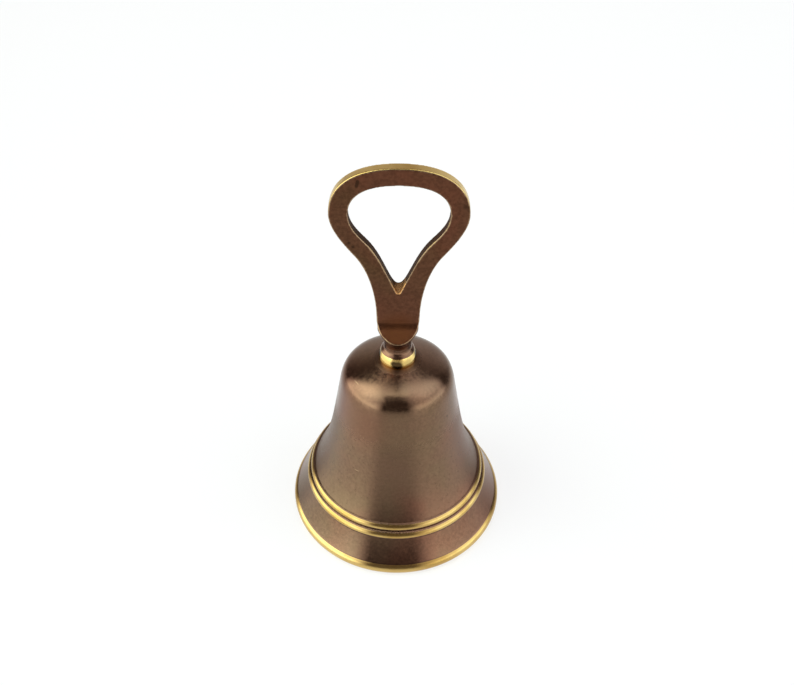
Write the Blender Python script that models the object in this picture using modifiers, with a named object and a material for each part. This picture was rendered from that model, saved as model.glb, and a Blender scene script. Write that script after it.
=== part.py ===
"""Hand bell with a flat loop handle, a turned shell and a clapper that swings on a wire link.

Metres, +Z up. The rim stands on the plane z = 0, the bell's axis is the Z axis and the loop
handle lies in the XZ plane. Every piece is its own object, as it would lie on the bench.
"""
import math

import bmesh
import bpy
from mathutils import Vector
from mathutils.geometry import interpolate_bezier

MM = 0.001

# Clearances
FIT_GAP = 0.3 * MM

# Bell shell: a turned casting with a flared mouth, two beads and a rolled lip
MOUTH_DIAMETER = 75.0 * MM
SHELL_HEIGHT = 68.1 * MM
CROWN_SEAT_DIAMETER = 12.4 * MM
SHOULDER_DIAMETER = 38.2 * MM
SHOULDER_DROP = 10.6 * MM
SHOULDER_FULLNESS = (0.70, 0.35)
CROWN_LEAN = math.radians(17.0)
FLANK_FLARE = 3.6 * MM
FLANK_FLARE_POWER = 4.4
BELT_TOP_DIAMETER = 58.2 * MM
BELT_TOP_HEIGHT = 18.4 * MM
BELT_FOOT_DIAMETER = 64.2 * MM
BELT_FOOT_HEIGHT = 13.1 * MM
BELT_BEADS = 2
BELT_BEAD_RISE = 0.85 * MM
SKIRT_SAG = 0.35 * MM
LIP_HEIGHT = 4.0 * MM
LIP_RISE = 1.35 * MM
RIM_FLAT = 2.3 * MM
WALL = 2.4 * MM
LIP_WALL = 3.0 * MM
CROWN_WALL = 3.0 * MM

# Neck bead between the crown and the handle
BEAD_DIAMETER = 12.4 * MM
BEAD_HEIGHT = 5.9 * MM
BEAD_GIRTH_HEIGHT = 1.4 * MM
BEAD_FOOT_DIAMETER = 10.2 * MM
WAIST_DIAMETER = 8.0 * MM

# Handle: heights are measured from the foot of its turned boss
PLATE_THICKNESS = 3.2 * MM
PLATE_CHAMFER = 0.3 * MM
LOOP_RISE = 65.9 * MM
LOOP_WIDTH = 40.5 * MM
LOOP_BAR = 5.6 * MM
SIDE_RISE = 50.4 * MM
ARM_RISE = 35.8 * MM
ARM_SPREAD = 26.3 * MM
ARM_LEAN = math.radians(36.8)
VEE_RISE = 23.7 * MM
SHANK_RISE = 10.7 * MM
SHANK_WIDTH = 13.4 * MM
TUCK_DEPTH = 3.5 * MM
TUCK_INSET = 0.7 * MM
BOSS_DIAMETER = 13.2 * MM
BOSS_FLARE_FOOT = 1.0 * MM
BOSS_FLARE_RISE = 6.8 * MM
BOSS_TOP_RISE = 13.0 * MM
SCOOP_RISE = 9.8 * MM
SCOOP_RADIUS = 9.0 * MM
SCOOP_TURN = math.radians(75.0)
SCOOP_SINK = 0.06 * MM
POCKET_DROP = 2.9 * MM
POCKET_WIDTH = 1.8 * MM
POCKET_SPREAD = 3.4 * MM
POCKET_HEIGHT = 4.2 * MM
TAPPED_DEPTH = 4.8 * MM

# How full the loop's curves are: share of each chord taken by the handle at its start and its end
TOP_FULLNESS = (0.56, 0.35)
OUTER_SIDE_FULLNESS = (0.30, 0.34)
INNER_SIDE_FULLNESS = (0.40, 0.29)
SHANK_FULLNESS = (0.25, 0.42)
VEE_FULLNESS = (0.42, 0.136)
STRAIGHT = (1 / 3, 1 / 3)

# Eye bolt and what clamps the shell
STUD_DIAMETER = 3.8 * MM
STUD_CHAMFER = 0.4 * MM
EYE_WIRE = 2.2 * MM
EYE_HOLE_DIAMETER = 4.2 * MM
EYE_NECK_LENGTH = 1.6 * MM
WASHER_DIAMETER = 11.6 * MM
WASHER_THICKNESS = 1.0 * MM
WASHER_CHAMFER = 0.2 * MM
NUT_FLATS = 7.0 * MM
NUT_THICKNESS = 3.0 * MM

# Clapper: wire link, rod with an eye, ball and the nut under it
LINK_WIRE = 1.6 * MM
LINK_STRAIGHT = 3.0 * MM
ROD_DIAMETER = 2.0 * MM
ROD_SHOULDER_DIAMETER = 4.2 * MM
ROD_SHOULDER_LENGTH = 1.4 * MM
ROD_END = 0.6 * MM
BALL_DIAMETER = 15.0 * MM
BALL_HEIGHT = 13.8 * MM
BALL_FLAT_DIAMETER = 5.0 * MM
CLAPPER_NUT_FLATS = 4.5 * MM
CLAPPER_NUT_THICKNESS = 2.2 * MM

# Finishes: colour and roughness
SHELL_FINISH = ((0.16, 0.09, 0.05), 0.38)
BEAD_FINISH = ((0.62, 0.43, 0.13), 0.2)
HANDLE_FINISH = ((0.12, 0.065, 0.035), 0.4)
TURNED_FINISH = ((0.45, 0.32, 0.13), 0.35)
NUT_FINISH = ((0.5, 0.37, 0.16), 0.3)
STEEL_FINISH = ((0.43, 0.43, 0.42), 0.32)

# Facets
SHELL_STEPS = 48
TURNED_STEPS = 32
SMALL_STEPS = 20
SHOULDER_POINTS = 9
FLANK_POINTS = 9
BEAD_POINTS = 6
SKIRT_POINTS = 4
LIP_POINTS = 8
INNER_POINTS = 5
CURVE_RESOLUTION = 8
RING_MAJOR = 28
RING_MINOR = 10
LINK_BEND_POINTS = 9
LINK_WIRE_RESOLUTION = 2
CUT_THROUGH = 4
MERGE = 0.01 * MM
SMOOTH_ANGLE = math.radians(40)
HEX_SIDES = 6

# Worked-out sizes
MOUTH_RADIUS = MOUTH_DIAMETER / 2
LIP_ROOT_RADIUS = MOUTH_RADIUS - LIP_RISE
SHOULDER_HEIGHT = SHELL_HEIGHT - SHOULDER_DROP
FLANK_HEIGHT = SHOULDER_HEIGHT - BELT_TOP_HEIGHT
FLANK_TAPER = (BELT_TOP_DIAMETER - SHOULDER_DIAMETER) / 2 - FLANK_FLARE
STUD_HOLE_RADIUS = STUD_DIAMETER / 2 + FIT_GAP
ROD_HOLE_RADIUS = ROD_DIAMETER / 2 + FIT_GAP
EYE_MAJOR = (EYE_HOLE_DIAMETER + EYE_WIRE) / 2
LINK_BEND = EYE_WIRE / 2 + FIT_GAP + LINK_WIRE / 2
ROD_EYE_MAJOR = LINK_WIRE / 2 + FIT_GAP + ROD_DIAMETER / 2

# Heights of the stack, from the crown up and from the crown down
BEAD_FOOT_Z = SHELL_HEIGHT + FIT_GAP
HANDLE_FOOT_Z = BEAD_FOOT_Z + BEAD_HEIGHT + FIT_GAP
STUD_TOP_Z = HANDLE_FOOT_Z + TAPPED_DEPTH - FIT_GAP
WASHER_Z = SHELL_HEIGHT - CROWN_WALL - FIT_GAP - WASHER_THICKNESS
NUT_Z = WASHER_Z - FIT_GAP - NUT_THICKNESS
EYE_TOP_Z = NUT_Z - EYE_NECK_LENGTH
EYE_CENTRE_Z = EYE_TOP_Z - EYE_WIRE / 2 - EYE_MAJOR
LINK_PIVOT_Z = EYE_CENTRE_Z - EYE_MAJOR
CLAPPER_PIVOT_Z = LINK_PIVOT_Z - LINK_STRAIGHT - LINK_BEND
BALL_DROP = CLAPPER_PIVOT_Z - BALL_HEIGHT
BALL_HALF_LENGTH = math.sqrt((BALL_DIAMETER / 2) ** 2 - (BALL_FLAT_DIAMETER / 2) ** 2)


def clear_scene():
    """Remove every object of the open file, so that the script can be run again."""
    for old in list(bpy.data.objects):
        bpy.data.objects.remove(old)


def collection(name):
    """Make a collection in the scene, or return it where it already exists."""
    found = bpy.data.collections.get(name) or bpy.data.collections.new(name)
    if found.name not in bpy.context.scene.collection.children:
        bpy.context.scene.collection.children.link(found)
    return found


def metal(name, finish):
    """Return a Principled metal with the colour and roughness of a finish."""
    colour, roughness = finish
    made = bpy.data.materials.new(name)
    made.use_nodes = True
    shader = made.node_tree.nodes["Principled BSDF"]
    shader.inputs["Base Color"].default_value = (*colour, 1.0)
    shader.inputs["Metallic"].default_value = 1.0
    shader.inputs["Roughness"].default_value = roughness
    made.diffuse_color = (*colour, 1.0)
    return made


def put(name, data, group, material=None):
    """Add an object for the given mesh or curve to a collection."""
    made = bpy.data.objects.new(name, data)
    group.objects.link(made)
    if material:
        data.materials.append(material)
    return made


def as_cutter(tool):
    """Mark an object as a cutter, which shapes a piece and is no piece itself."""
    tool.hide_render = True
    tool.display_type = "WIRE"
    return tool


def boolean(target, tool, operation):
    """Add an exact Boolean with the given tool to the target."""
    step = target.modifiers.new(f"{operation.lower()} {tool.name}", "BOOLEAN")
    step.solver = "EXACT"
    step.operation = operation
    step.object = tool


def turned(name, profile, steps, group, material=None):
    """Turn a closed half profile, listed down its outer side first, about the Z axis."""
    mesh = bpy.data.meshes.new(name)
    count = len(profile)
    edges = [(i, (i + 1) % count) for i in range(count)]
    mesh.from_pydata([(radius, 0.0, height) for radius, height in profile], edges, [])
    made = put(name, mesh, group, material)
    screw = made.modifiers.new("turn", "SCREW")
    screw.axis = "Z"
    screw.steps = steps
    screw.render_steps = steps
    screw.use_merge_vertices = True
    screw.merge_threshold = MERGE
    screw.use_smooth_shade = True
    return made


def spindle(name, profile, steps, group, material=None):
    """Turn an open half profile whose two ends lie on the Z axis."""
    made = turned(name, profile, steps, group, material)
    mesh = made.data
    work = bmesh.new()
    work.from_mesh(mesh)
    on_axis = [edge for edge in work.edges if all(abs(v.co.x) < MERGE for v in edge.verts)]
    bmesh.ops.delete(work, geom=on_axis, context="EDGES")
    work.to_mesh(mesh)
    work.free()
    return made


def smooth(mesh):
    """Shade a mesh smooth apart from its sharp edges."""
    mesh.shade_smooth()
    mesh.set_sharp_from_angle(angle=SMOOTH_ANGLE)


def curve_to_mesh(source, name, group, material=None):
    """Replace a curve object by a closed mesh in the same place."""
    bpy.context.view_layer.update()
    evaluated = source.evaluated_get(bpy.context.evaluated_depsgraph_get())
    mesh = bpy.data.meshes.new_from_object(evaluated)
    work = bmesh.new()
    work.from_mesh(mesh)
    bmesh.ops.remove_doubles(work, verts=work.verts, dist=MERGE)
    bmesh.ops.recalc_face_normals(work, faces=work.faces)
    work.to_mesh(mesh)
    work.free()
    smooth(mesh)
    mesh.name = name
    mesh.materials.clear()
    made = put(name, mesh, group, material)
    made.matrix_world = source.matrix_world.copy()
    bpy.data.objects.remove(source)
    return made


def flat_curve(name, thickness, group):
    """Make an empty flat curve object that is filled and extruded to a thickness."""
    curve = bpy.data.curves.new(name, "CURVE")
    curve.dimensions = "2D"
    curve.fill_mode = "BOTH"
    curve.extrude = thickness / 2
    curve.resolution_u = CURVE_RESOLUTION
    return put(name, curve, group)


def add_polygon(curve, points):
    """Add a closed straight-sided outline to a curve."""
    spline = curve.splines.new("POLY")
    spline.points.add(len(points) - 1)
    for point, (x, y) in zip(spline.points, points):
        point.co = (x, y, 0.0, 1.0)
    spline.use_cyclic_u = True


def heading(angle, length):
    """Return the step of a given length along an angle."""
    return length * math.cos(angle), length * math.sin(angle)


def mirrored_loop(nodes, fullness):
    """Close the right half of an outline, listed from top to bottom, with its mirror image.

    A node is (x, y, angle of travel), with no angle at a corner. Returns the nodes of the whole
    outline and the fullness of each stretch that follows them.
    """
    left = [(-x, y, None if angle is None else -angle) for x, y, angle in reversed(nodes) if x > 0]
    shares = list(fullness)
    if nodes[-1][0] > 0:
        shares.append(STRAIGHT)
    shares += [(end, start) for start, end in reversed(fullness)]
    return nodes + left, shares


def add_bezier(curve, nodes, shares):
    """Add a closed Bezier outline through nodes, with handles that are shares of the chords."""
    spline = curve.splines.new("BEZIER")
    spline.bezier_points.add(len(nodes) - 1)
    count = len(nodes)
    for i, (x, y, angle) in enumerate(nodes):
        point = spline.bezier_points[i]
        point.co = (x, y, 0.0)
        if angle is None:
            point.handle_left_type = point.handle_right_type = "VECTOR"
            continue
        point.handle_left_type = point.handle_right_type = "FREE"
        before = math.dist((x, y), nodes[i - 1][:2]) * shares[i - 1][1]
        after = math.dist((x, y), nodes[(i + 1) % count][:2]) * shares[i][0]
        back_x, back_y = heading(angle, -before)
        on_x, on_y = heading(angle, after)
        point.handle_left = (x + back_x, y + back_y, 0.0)
        point.handle_right = (x + on_x, y + on_y, 0.0)
    spline.use_cyclic_u = True


def arc_between(start, end, rise, count):
    """Points after start, up to end, of an arc that bulges outwards by rise."""
    run, fall = end[0] - start[0], end[1] - start[1]
    chord = math.hypot(run, fall)
    along = (run / chord, fall / chord)
    outward = (-along[1], along[0])
    half = chord / 2
    radius = (half ** 2 + rise ** 2) / (2 * rise)
    turn = 2 * math.atan2(rise, half)
    points = []
    for i in range(1, count + 1):
        angle = turn * (2 * i / count - 1)
        slide = half + radius * math.sin(angle)
        lift = radius * math.cos(angle) - (radius - rise)
        points.append((start[0] + slide * along[0] + lift * outward[0],
                       start[1] + slide * along[1] + lift * outward[1]))
    return points


def between(start, end, share):
    """Point at a share of the way from start to end."""
    return tuple(a + (b - a) * share for a, b in zip(start, end))


def shoulder(inset_side, inset_top, count):
    """Points of the shoulder from the crown's seat to the flank, inset from the outside."""
    seat = Vector((CROWN_SEAT_DIAMETER / 2, SHELL_HEIGHT))
    side = Vector((SHOULDER_DIAMETER / 2, SHOULDER_HEIGHT))
    chord = (side - seat).length
    over = Vector(heading(-CROWN_LEAN, chord * SHOULDER_FULLNESS[0]))
    rise = Vector((-FLANK_TAPER, FLANK_HEIGHT)).normalized() * chord * SHOULDER_FULLNESS[1]
    points = []
    for i, place in enumerate(interpolate_bezier(seat, seat + over, side + rise, side, count)):
        turn = math.pi / 2 * i / (count - 1)
        points.append((place.x - inset_side * math.sin(turn), place.y - inset_top * math.cos(turn)))
    return points


def flank(share):
    """Point on the outside of the flank, by share of the way from shoulder to belt."""
    radius = SHOULDER_DIAMETER / 2 + FLANK_TAPER * share + FLANK_FLARE * share ** FLANK_FLARE_POWER
    return radius, SHOULDER_HEIGHT - FLANK_HEIGHT * share


def shell_outside():
    """Outer profile of the shell from the crown's hole down to the rim."""
    points = [(STUD_HOLE_RADIUS, SHELL_HEIGHT)]
    points += shoulder(0.0, 0.0, SHOULDER_POINTS)
    points += [flank(i / FLANK_POINTS) for i in range(1, FLANK_POINTS + 1)]
    belt_top = (BELT_TOP_DIAMETER / 2, BELT_TOP_HEIGHT)
    belt_foot = (BELT_FOOT_DIAMETER / 2, BELT_FOOT_HEIGHT)
    for i in range(BELT_BEADS):
        bead_top = between(belt_top, belt_foot, i / BELT_BEADS)
        bead_foot = between(belt_top, belt_foot, (i + 1) / BELT_BEADS)
        points += arc_between(bead_top, bead_foot, BELT_BEAD_RISE, BEAD_POINTS)
    lip_root = (LIP_ROOT_RADIUS, LIP_HEIGHT)
    points += arc_between(belt_foot, lip_root, -SKIRT_SAG, SKIRT_POINTS)
    points += arc_between(lip_root, (LIP_ROOT_RADIUS, 0.0), LIP_RISE, LIP_POINTS)
    return points


def shell_inside():
    """Inner profile of the shell from the rim up to the crown's hole."""
    points = [(LIP_ROOT_RADIUS - RIM_FLAT, 0.0)]
    lower = [(LIP_ROOT_RADIUS, LIP_HEIGHT), (BELT_FOOT_DIAMETER / 2, BELT_FOOT_HEIGHT)]
    for radius, height in lower:
        share = (BELT_TOP_HEIGHT - height) / BELT_TOP_HEIGHT
        points.append((radius - WALL - (LIP_WALL - WALL) * share, height))
    for i in range(INNER_POINTS + 1):
        radius, height = flank(1 - i / (INNER_POINTS + 1))
        points.append((radius - WALL, height))
    points += reversed(shoulder(WALL, CROWN_WALL, SHOULDER_POINTS))
    points.append((STUD_HOLE_RADIUS, SHELL_HEIGHT - CROWN_WALL))
    return points


def bell_shell(group):
    """Turn the shell, hollow and open below, with a hole in the crown for the stud."""
    profile = shell_outside() + shell_inside()
    return turned("bell_shell", profile, SHELL_STEPS, group, metal("shell brass", SHELL_FINISH))


def neck_bead(group):
    """Turn the bored bead that stands between the crown and the handle."""
    girth = BEAD_DIAMETER / 2
    waist = WAIST_DIAMETER / 2
    foot = BEAD_FOOT_DIAMETER / 2
    top_angle = math.acos(waist / girth)
    dome = (BEAD_HEIGHT - BEAD_GIRTH_HEIGHT) / math.sin(top_angle)
    points = [(STUD_HOLE_RADIUS, BEAD_HEIGHT)]
    for i in range(BEAD_POINTS + 1):
        angle = top_angle * (1 - i / BEAD_POINTS)
        points.append((girth * math.cos(angle), BEAD_GIRTH_HEIGHT + dome * math.sin(angle)))
    for i in range(1, BEAD_POINTS):
        angle = math.pi / 2 * i / (BEAD_POINTS - 1)
        points.append((foot + (girth - foot) * math.cos(angle), BEAD_GIRTH_HEIGHT * (1 - math.sin(angle))))
    points.append((STUD_HOLE_RADIUS, 0.0))
    made = turned("neck_bead", points, TURNED_STEPS, group, metal("bead brass", BEAD_FINISH))
    made.location.z = BEAD_FOOT_Z
    return made


def loop_nodes(inset):
    """Top, side and arm nodes of the right half of the loop, moved inwards by an inset."""
    top = (0.0, LOOP_RISE - inset, 0.0)
    side = (LOOP_WIDTH / 2 - inset, SIDE_RISE, -math.pi / 2)
    arm = (ARM_SPREAD / 2 - inset * math.cos(ARM_LEAN),
           ARM_RISE + inset * math.sin(ARM_LEAN),
           -math.pi / 2 - ARM_LEAN)
    return [top, side, arm]


def handle_plate(group, material):
    """Cut the flat plate of the handle: a pear-shaped loop on a shank."""
    drawing = flat_curve("handle outline", PLATE_THICKNESS - 2 * PLATE_CHAMFER, group)
    curve = drawing.data
    curve.bevel_depth = PLATE_CHAMFER
    curve.bevel_resolution = 0
    curve.offset = -PLATE_CHAMFER
    shank = (SHANK_WIDTH / 2, SHANK_RISE, -math.pi / 2)
    tuck = (SHANK_WIDTH / 2 - TUCK_INSET, SHANK_RISE - TUCK_DEPTH, None)
    outside = mirrored_loop(loop_nodes(0.0) + [shank, tuck],
                            [TOP_FULLNESS, OUTER_SIDE_FULLNESS, SHANK_FULLNESS, STRAIGHT])
    vee = (0.0, VEE_RISE, math.pi)
    hole = mirrored_loop(loop_nodes(LOOP_BAR) + [vee],
                         [TOP_FULLNESS, INNER_SIDE_FULLNESS, VEE_FULLNESS])
    add_bezier(curve, *outside)
    add_bezier(curve, *hole)
    drawing.rotation_euler.x = math.pi / 2
    drawing.location.z = HANDLE_FOOT_Z
    return curve_to_mesh(drawing, "handle", group, material)


def scoop_tool(side, group):
    """Make the cutter that scoops one face of the boss: a flat that runs out in an arc."""
    deep = PLATE_THICKNESS / 2 - SCOOP_SINK
    outline = [(side * deep, BOSS_TOP_RISE + SCOOP_RADIUS), (side * deep, SCOOP_RISE)]
    for i in range(1, CURVE_RESOLUTION + 1):
        angle = SCOOP_TURN * i / CURVE_RESOLUTION
        outline.append((side * (deep + SCOOP_RADIUS * (1 - math.cos(angle))),
                        SCOOP_RISE - SCOOP_RADIUS * math.sin(angle)))
    outline.append((side * (deep + BOSS_DIAMETER), outline[-1][1]))
    outline.append((side * (deep + BOSS_DIAMETER), BOSS_TOP_RISE + SCOOP_RADIUS))
    drawing = flat_curve("scoop outline", CUT_THROUGH * BOSS_DIAMETER, group)
    add_polygon(drawing.data, outline)
    drawing.rotation_euler = (math.pi / 2, 0.0, math.pi / 2)
    drawing.location.z = HANDLE_FOOT_Z
    return as_cutter(curve_to_mesh(drawing, f"scoop_{'back' if side > 0 else 'front'}", group))


def boss_blank(group):
    """Turn the boss under the plate, which flares from the waist to the shank, and scoop its faces."""
    boss = BOSS_DIAMETER / 2
    waist = WAIST_DIAMETER / 2
    points = [(0.0, BOSS_TOP_RISE), (boss, BOSS_TOP_RISE)]
    for i in range(CURVE_RESOLUTION + 1):
        share = 1 - i / CURVE_RESOLUTION
        swell = (1 - math.cos(math.pi * share)) / 2
        points.append((waist + (boss - waist) * swell, BOSS_FLARE_FOOT + BOSS_FLARE_RISE * share))
    points += [(waist, 0.0), (0.0, 0.0)]
    made = as_cutter(spindle("boss_blank", points, TURNED_STEPS, group))
    made.location.z = HANDLE_FOOT_Z
    for side in (-1, 1):
        boolean(made, scoop_tool(side, group), "DIFFERENCE")
    return made


def tapped_hole_tool(group):
    """Make the cutter for the blind hole in the foot of the boss."""
    below = -FIT_GAP
    points = [(0.0, TAPPED_DEPTH), (STUD_HOLE_RADIUS, TAPPED_DEPTH), (STUD_HOLE_RADIUS, below), (0.0, below)]
    made = as_cutter(spindle("tapped_hole", points, SMALL_STEPS, group))
    made.location.z = HANDLE_FOOT_Z
    return made


def pocket_tool(group):
    """Make the cutter for the sloping pocket at the foot of the loop, open to the front face."""
    half = POCKET_WIDTH / 2
    wide = half + POCKET_SPREAD / 2
    slope = math.atan2(POCKET_DROP, PLATE_THICKNESS)
    drawing = flat_curve("pocket outline", CUT_THROUGH * PLATE_THICKNESS, group)
    add_polygon(drawing.data, [(-half, 0.0), (half, 0.0), (wide, POCKET_HEIGHT), (-wide, POCKET_HEIGHT)])
    drawing.rotation_euler.x = math.pi / 2 + slope
    drawing.location.z = HANDLE_FOOT_Z + VEE_RISE - POCKET_DROP / 2
    return as_cutter(curve_to_mesh(drawing, "pocket", group))


def handle(group, tools):
    """Join the plate and its boss, then cut the pocket and the tapped hole."""
    made = handle_plate(group, metal("handle brass", HANDLE_FINISH))
    boolean(made, boss_blank(tools), "UNION")
    boolean(made, pocket_tool(tools), "DIFFERENCE")
    boolean(made, tapped_hole_tool(tools), "DIFFERENCE")
    return made


def ring_tool(name, major, wire, group):
    """Make a round wire ring that lies in the XZ plane about its own origin."""
    bpy.ops.mesh.primitive_torus_add(major_radius=major, minor_radius=wire / 2,
                                     major_segments=RING_MAJOR, minor_segments=RING_MINOR,
                                     rotation=(math.pi / 2, 0.0, 0.0))
    made = bpy.context.object
    made.name = name
    for home in list(made.users_collection):
        home.objects.unlink(made)
    group.objects.link(made)
    return as_cutter(made)


def eye_bolt(group, tools):
    """Turn the stud, necked at its foot, and join the forged eye to it."""
    stud = STUD_DIAMETER / 2
    top = STUD_TOP_Z - EYE_CENTRE_Z
    neck = EYE_TOP_Z - EYE_CENTRE_Z + EYE_NECK_LENGTH / 2
    points = [(0.0, top), (stud - STUD_CHAMFER, top), (stud, top - STUD_CHAMFER), (stud, neck),
              (EYE_WIRE / 2, EYE_MAJOR), (0.0, EYE_MAJOR)]
    made = spindle("eye_bolt", points, SMALL_STEPS, group, metal("bolt brass", TURNED_FINISH))
    made.location.z = EYE_CENTRE_Z
    ring = ring_tool("eye_ring", EYE_MAJOR, EYE_WIRE, tools)
    ring.location.z = EYE_CENTRE_Z
    boolean(made, ring, "UNION")
    return made


def crown_washer(group):
    """Turn the washer that bears on the inside of the crown."""
    edge = WASHER_DIAMETER / 2
    points = [(STUD_HOLE_RADIUS, WASHER_THICKNESS), (edge - WASHER_CHAMFER, WASHER_THICKNESS),
              (edge, WASHER_THICKNESS - WASHER_CHAMFER), (edge, WASHER_CHAMFER),
              (edge - WASHER_CHAMFER, 0.0), (STUD_HOLE_RADIUS, 0.0)]
    made = turned("crown_washer", points, TURNED_STEPS, group, metal("washer steel", STEEL_FINISH))
    made.location.z = WASHER_Z
    return made


def hex_nut(name, flats, thickness, hole, foot, group, tools, material):
    """Make a hexagon nut that stands on its origin and is bored through."""
    mesh = bpy.data.meshes.new(name)
    corner = flats / 2 / math.cos(math.pi / HEX_SIDES)
    work = bmesh.new()
    bmesh.ops.create_cone(work, cap_ends=True, segments=HEX_SIDES,
                          radius1=corner, radius2=corner, depth=thickness)
    bmesh.ops.translate(work, verts=work.verts, vec=(0.0, 0.0, thickness / 2))
    work.to_mesh(mesh)
    work.free()
    made = put(name, mesh, group, material)
    made.location.z = foot
    above, below = thickness + FIT_GAP, -FIT_GAP
    profile = [(0.0, above), (hole, above), (hole, below), (0.0, below)]
    bore = as_cutter(spindle(f"{name}_bore", profile, SMALL_STEPS, tools))
    bore.location.z = foot
    boolean(made, bore, "DIFFERENCE")
    return made


def jam_nut(group, tools):
    """Make the nut that clamps washer, crown and bead against the handle."""
    material = metal("nut brass", NUT_FINISH)
    return hex_nut("jam_nut", NUT_FLATS, NUT_THICKNESS, STUD_HOLE_RADIUS, NUT_Z, group, tools, material)


def pivot(name, height, parent=None):
    """Place an empty on a joint's axis."""
    made = bpy.data.objects.new(name, None)
    bpy.context.scene.collection.objects.link(made)
    made.parent = parent
    made.location.z = height
    return made


def clapper_link(group, parent):
    """Bend the oval wire link that hangs in the eye, with its upper bend about the pivot."""
    curve = bpy.data.curves.new("clapper_link", "CURVE")
    curve.dimensions = "3D"
    curve.bevel_depth = LINK_WIRE / 2
    curve.bevel_resolution = LINK_WIRE_RESOLUTION
    path = []
    for centre, start in ((0.0, 0.0), (-LINK_STRAIGHT, math.pi)):
        for i in range(LINK_BEND_POINTS):
            angle = start + math.pi * i / (LINK_BEND_POINTS - 1)
            path.append((0.0, LINK_BEND * math.cos(angle), centre + LINK_BEND * math.sin(angle)))
    spline = curve.splines.new("POLY")
    spline.points.add(len(path) - 1)
    for point, place in zip(spline.points, path):
        point.co = (*place, 1.0)
    spline.use_cyclic_u = True
    made = put("clapper_link", curve, group, metal("link wire", STEEL_FINISH))
    made.parent = parent
    return made


def clapper_rod(group, tools, parent):
    """Turn the rod, with the shoulder that the ball stops against, and join its eye to it."""
    rod = ROD_DIAMETER / 2
    collar = ROD_SHOULDER_DIAMETER / 2
    seat = -BALL_DROP + BALL_HALF_LENGTH + FIT_GAP
    foot = -BALL_DROP - BALL_HALF_LENGTH - FIT_GAP - CLAPPER_NUT_THICKNESS - ROD_END
    points = [(0.0, -ROD_EYE_MAJOR), (rod, -ROD_EYE_MAJOR), (rod, seat + ROD_SHOULDER_LENGTH + collar - rod),
              (collar, seat + ROD_SHOULDER_LENGTH), (collar, seat), (rod, seat), (rod, foot), (0.0, foot)]
    made = spindle("clapper_rod", points, SMALL_STEPS, group, metal("rod brass", TURNED_FINISH))
    made.parent = parent
    ring = ring_tool("rod_eye", ROD_EYE_MAJOR, ROD_DIAMETER, tools)
    ring.parent = parent
    boolean(made, ring, "UNION")
    return made


def clapper_ball(group, parent):
    """Turn the drilled ball, with a small flat at either end of its hole."""
    flat_angle = math.acos(BALL_FLAT_DIAMETER / BALL_DIAMETER)
    points = [(ROD_HOLE_RADIUS, BALL_HALF_LENGTH)]
    count = 2 * BEAD_POINTS
    for i in range(count + 1):
        angle = flat_angle * (1 - 2 * i / count)
        points.append((BALL_DIAMETER / 2 * math.cos(angle), BALL_DIAMETER / 2 * math.sin(angle)))
    points.append((ROD_HOLE_RADIUS, -BALL_HALF_LENGTH))
    made = turned("clapper_ball", points, TURNED_STEPS, group, metal("ball brass", TURNED_FINISH))
    made.parent = parent
    made.location.z = -BALL_DROP
    return made


def clapper_nut(group, tools, parent):
    """Make the nut that holds the ball on the rod."""
    foot = -BALL_DROP - BALL_HALF_LENGTH - FIT_GAP - CLAPPER_NUT_THICKNESS
    material = metal("clapper nut brass", NUT_FINISH)
    made = hex_nut("clapper_nut", CLAPPER_NUT_FLATS, CLAPPER_NUT_THICKNESS, ROD_HOLE_RADIUS, foot,
                   group, tools, material)
    made.parent = parent
    tools.objects["clapper_nut_bore"].parent = parent
    return made


def main():
    """Build every piece of the bell."""
    clear_scene()
    parts = collection("hand_bell")
    tools = collection("cutters")
    bell_shell(parts)
    neck_bead(parts)
    handle(parts, tools)
    eye_bolt(parts, tools)
    crown_washer(parts)
    jam_nut(parts, tools)
    link_pivot = pivot("link_pivot", LINK_PIVOT_Z)
    clapper_pivot = pivot("clapper_pivot", CLAPPER_PIVOT_Z - LINK_PIVOT_Z, link_pivot)
    clapper_link(parts, link_pivot)
    clapper_rod(parts, tools, clapper_pivot)
    clapper_ball(parts, clapper_pivot)
    clapper_nut(parts, tools, clapper_pivot)
    bpy.context.view_layer.update()


main()
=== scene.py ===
"""Antique brass hand bell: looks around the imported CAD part.

The turned pieces come from one Geometry Nodes lathe, and the eyes and the link from a wire tree.
The handle is cut from its outline, joined to its scooped boss and softened as a casting is.
Metres, +Z up, the rim on the plane z = 0.
"""
from __future__ import annotations

import logging
import math
from dataclasses import dataclass, field
from enum import Enum
from typing import Any, Iterable, Sequence, Union

import bmesh
import bpy
import numpy as np
from mathutils import Euler, Matrix, Vector
from mathutils.geometry import interpolate_bezier

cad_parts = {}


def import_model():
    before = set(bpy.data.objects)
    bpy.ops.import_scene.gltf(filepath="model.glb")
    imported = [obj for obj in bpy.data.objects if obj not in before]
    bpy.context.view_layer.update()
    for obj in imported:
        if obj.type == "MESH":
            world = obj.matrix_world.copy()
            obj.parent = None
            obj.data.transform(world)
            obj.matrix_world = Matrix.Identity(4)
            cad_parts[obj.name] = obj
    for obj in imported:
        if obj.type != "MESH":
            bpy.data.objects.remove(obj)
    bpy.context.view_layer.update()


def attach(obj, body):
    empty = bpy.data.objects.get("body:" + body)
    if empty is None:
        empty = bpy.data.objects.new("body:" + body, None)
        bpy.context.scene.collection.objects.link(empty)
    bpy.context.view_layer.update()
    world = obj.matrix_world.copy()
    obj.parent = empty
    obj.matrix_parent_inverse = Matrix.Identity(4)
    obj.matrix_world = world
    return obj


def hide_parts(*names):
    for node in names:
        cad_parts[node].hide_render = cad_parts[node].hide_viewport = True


log = logging.getLogger("hand_bell")

MM = 0.001
ZONE = "zone"
MERGE_DISTANCE = 0.002 * MM
SMOOTHING = 0.5
TURNED_SHARP = math.radians(48.0)
CAST_SHARP = math.radians(60.0)
MILLED_SHARP = math.radians(35.0)

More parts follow.
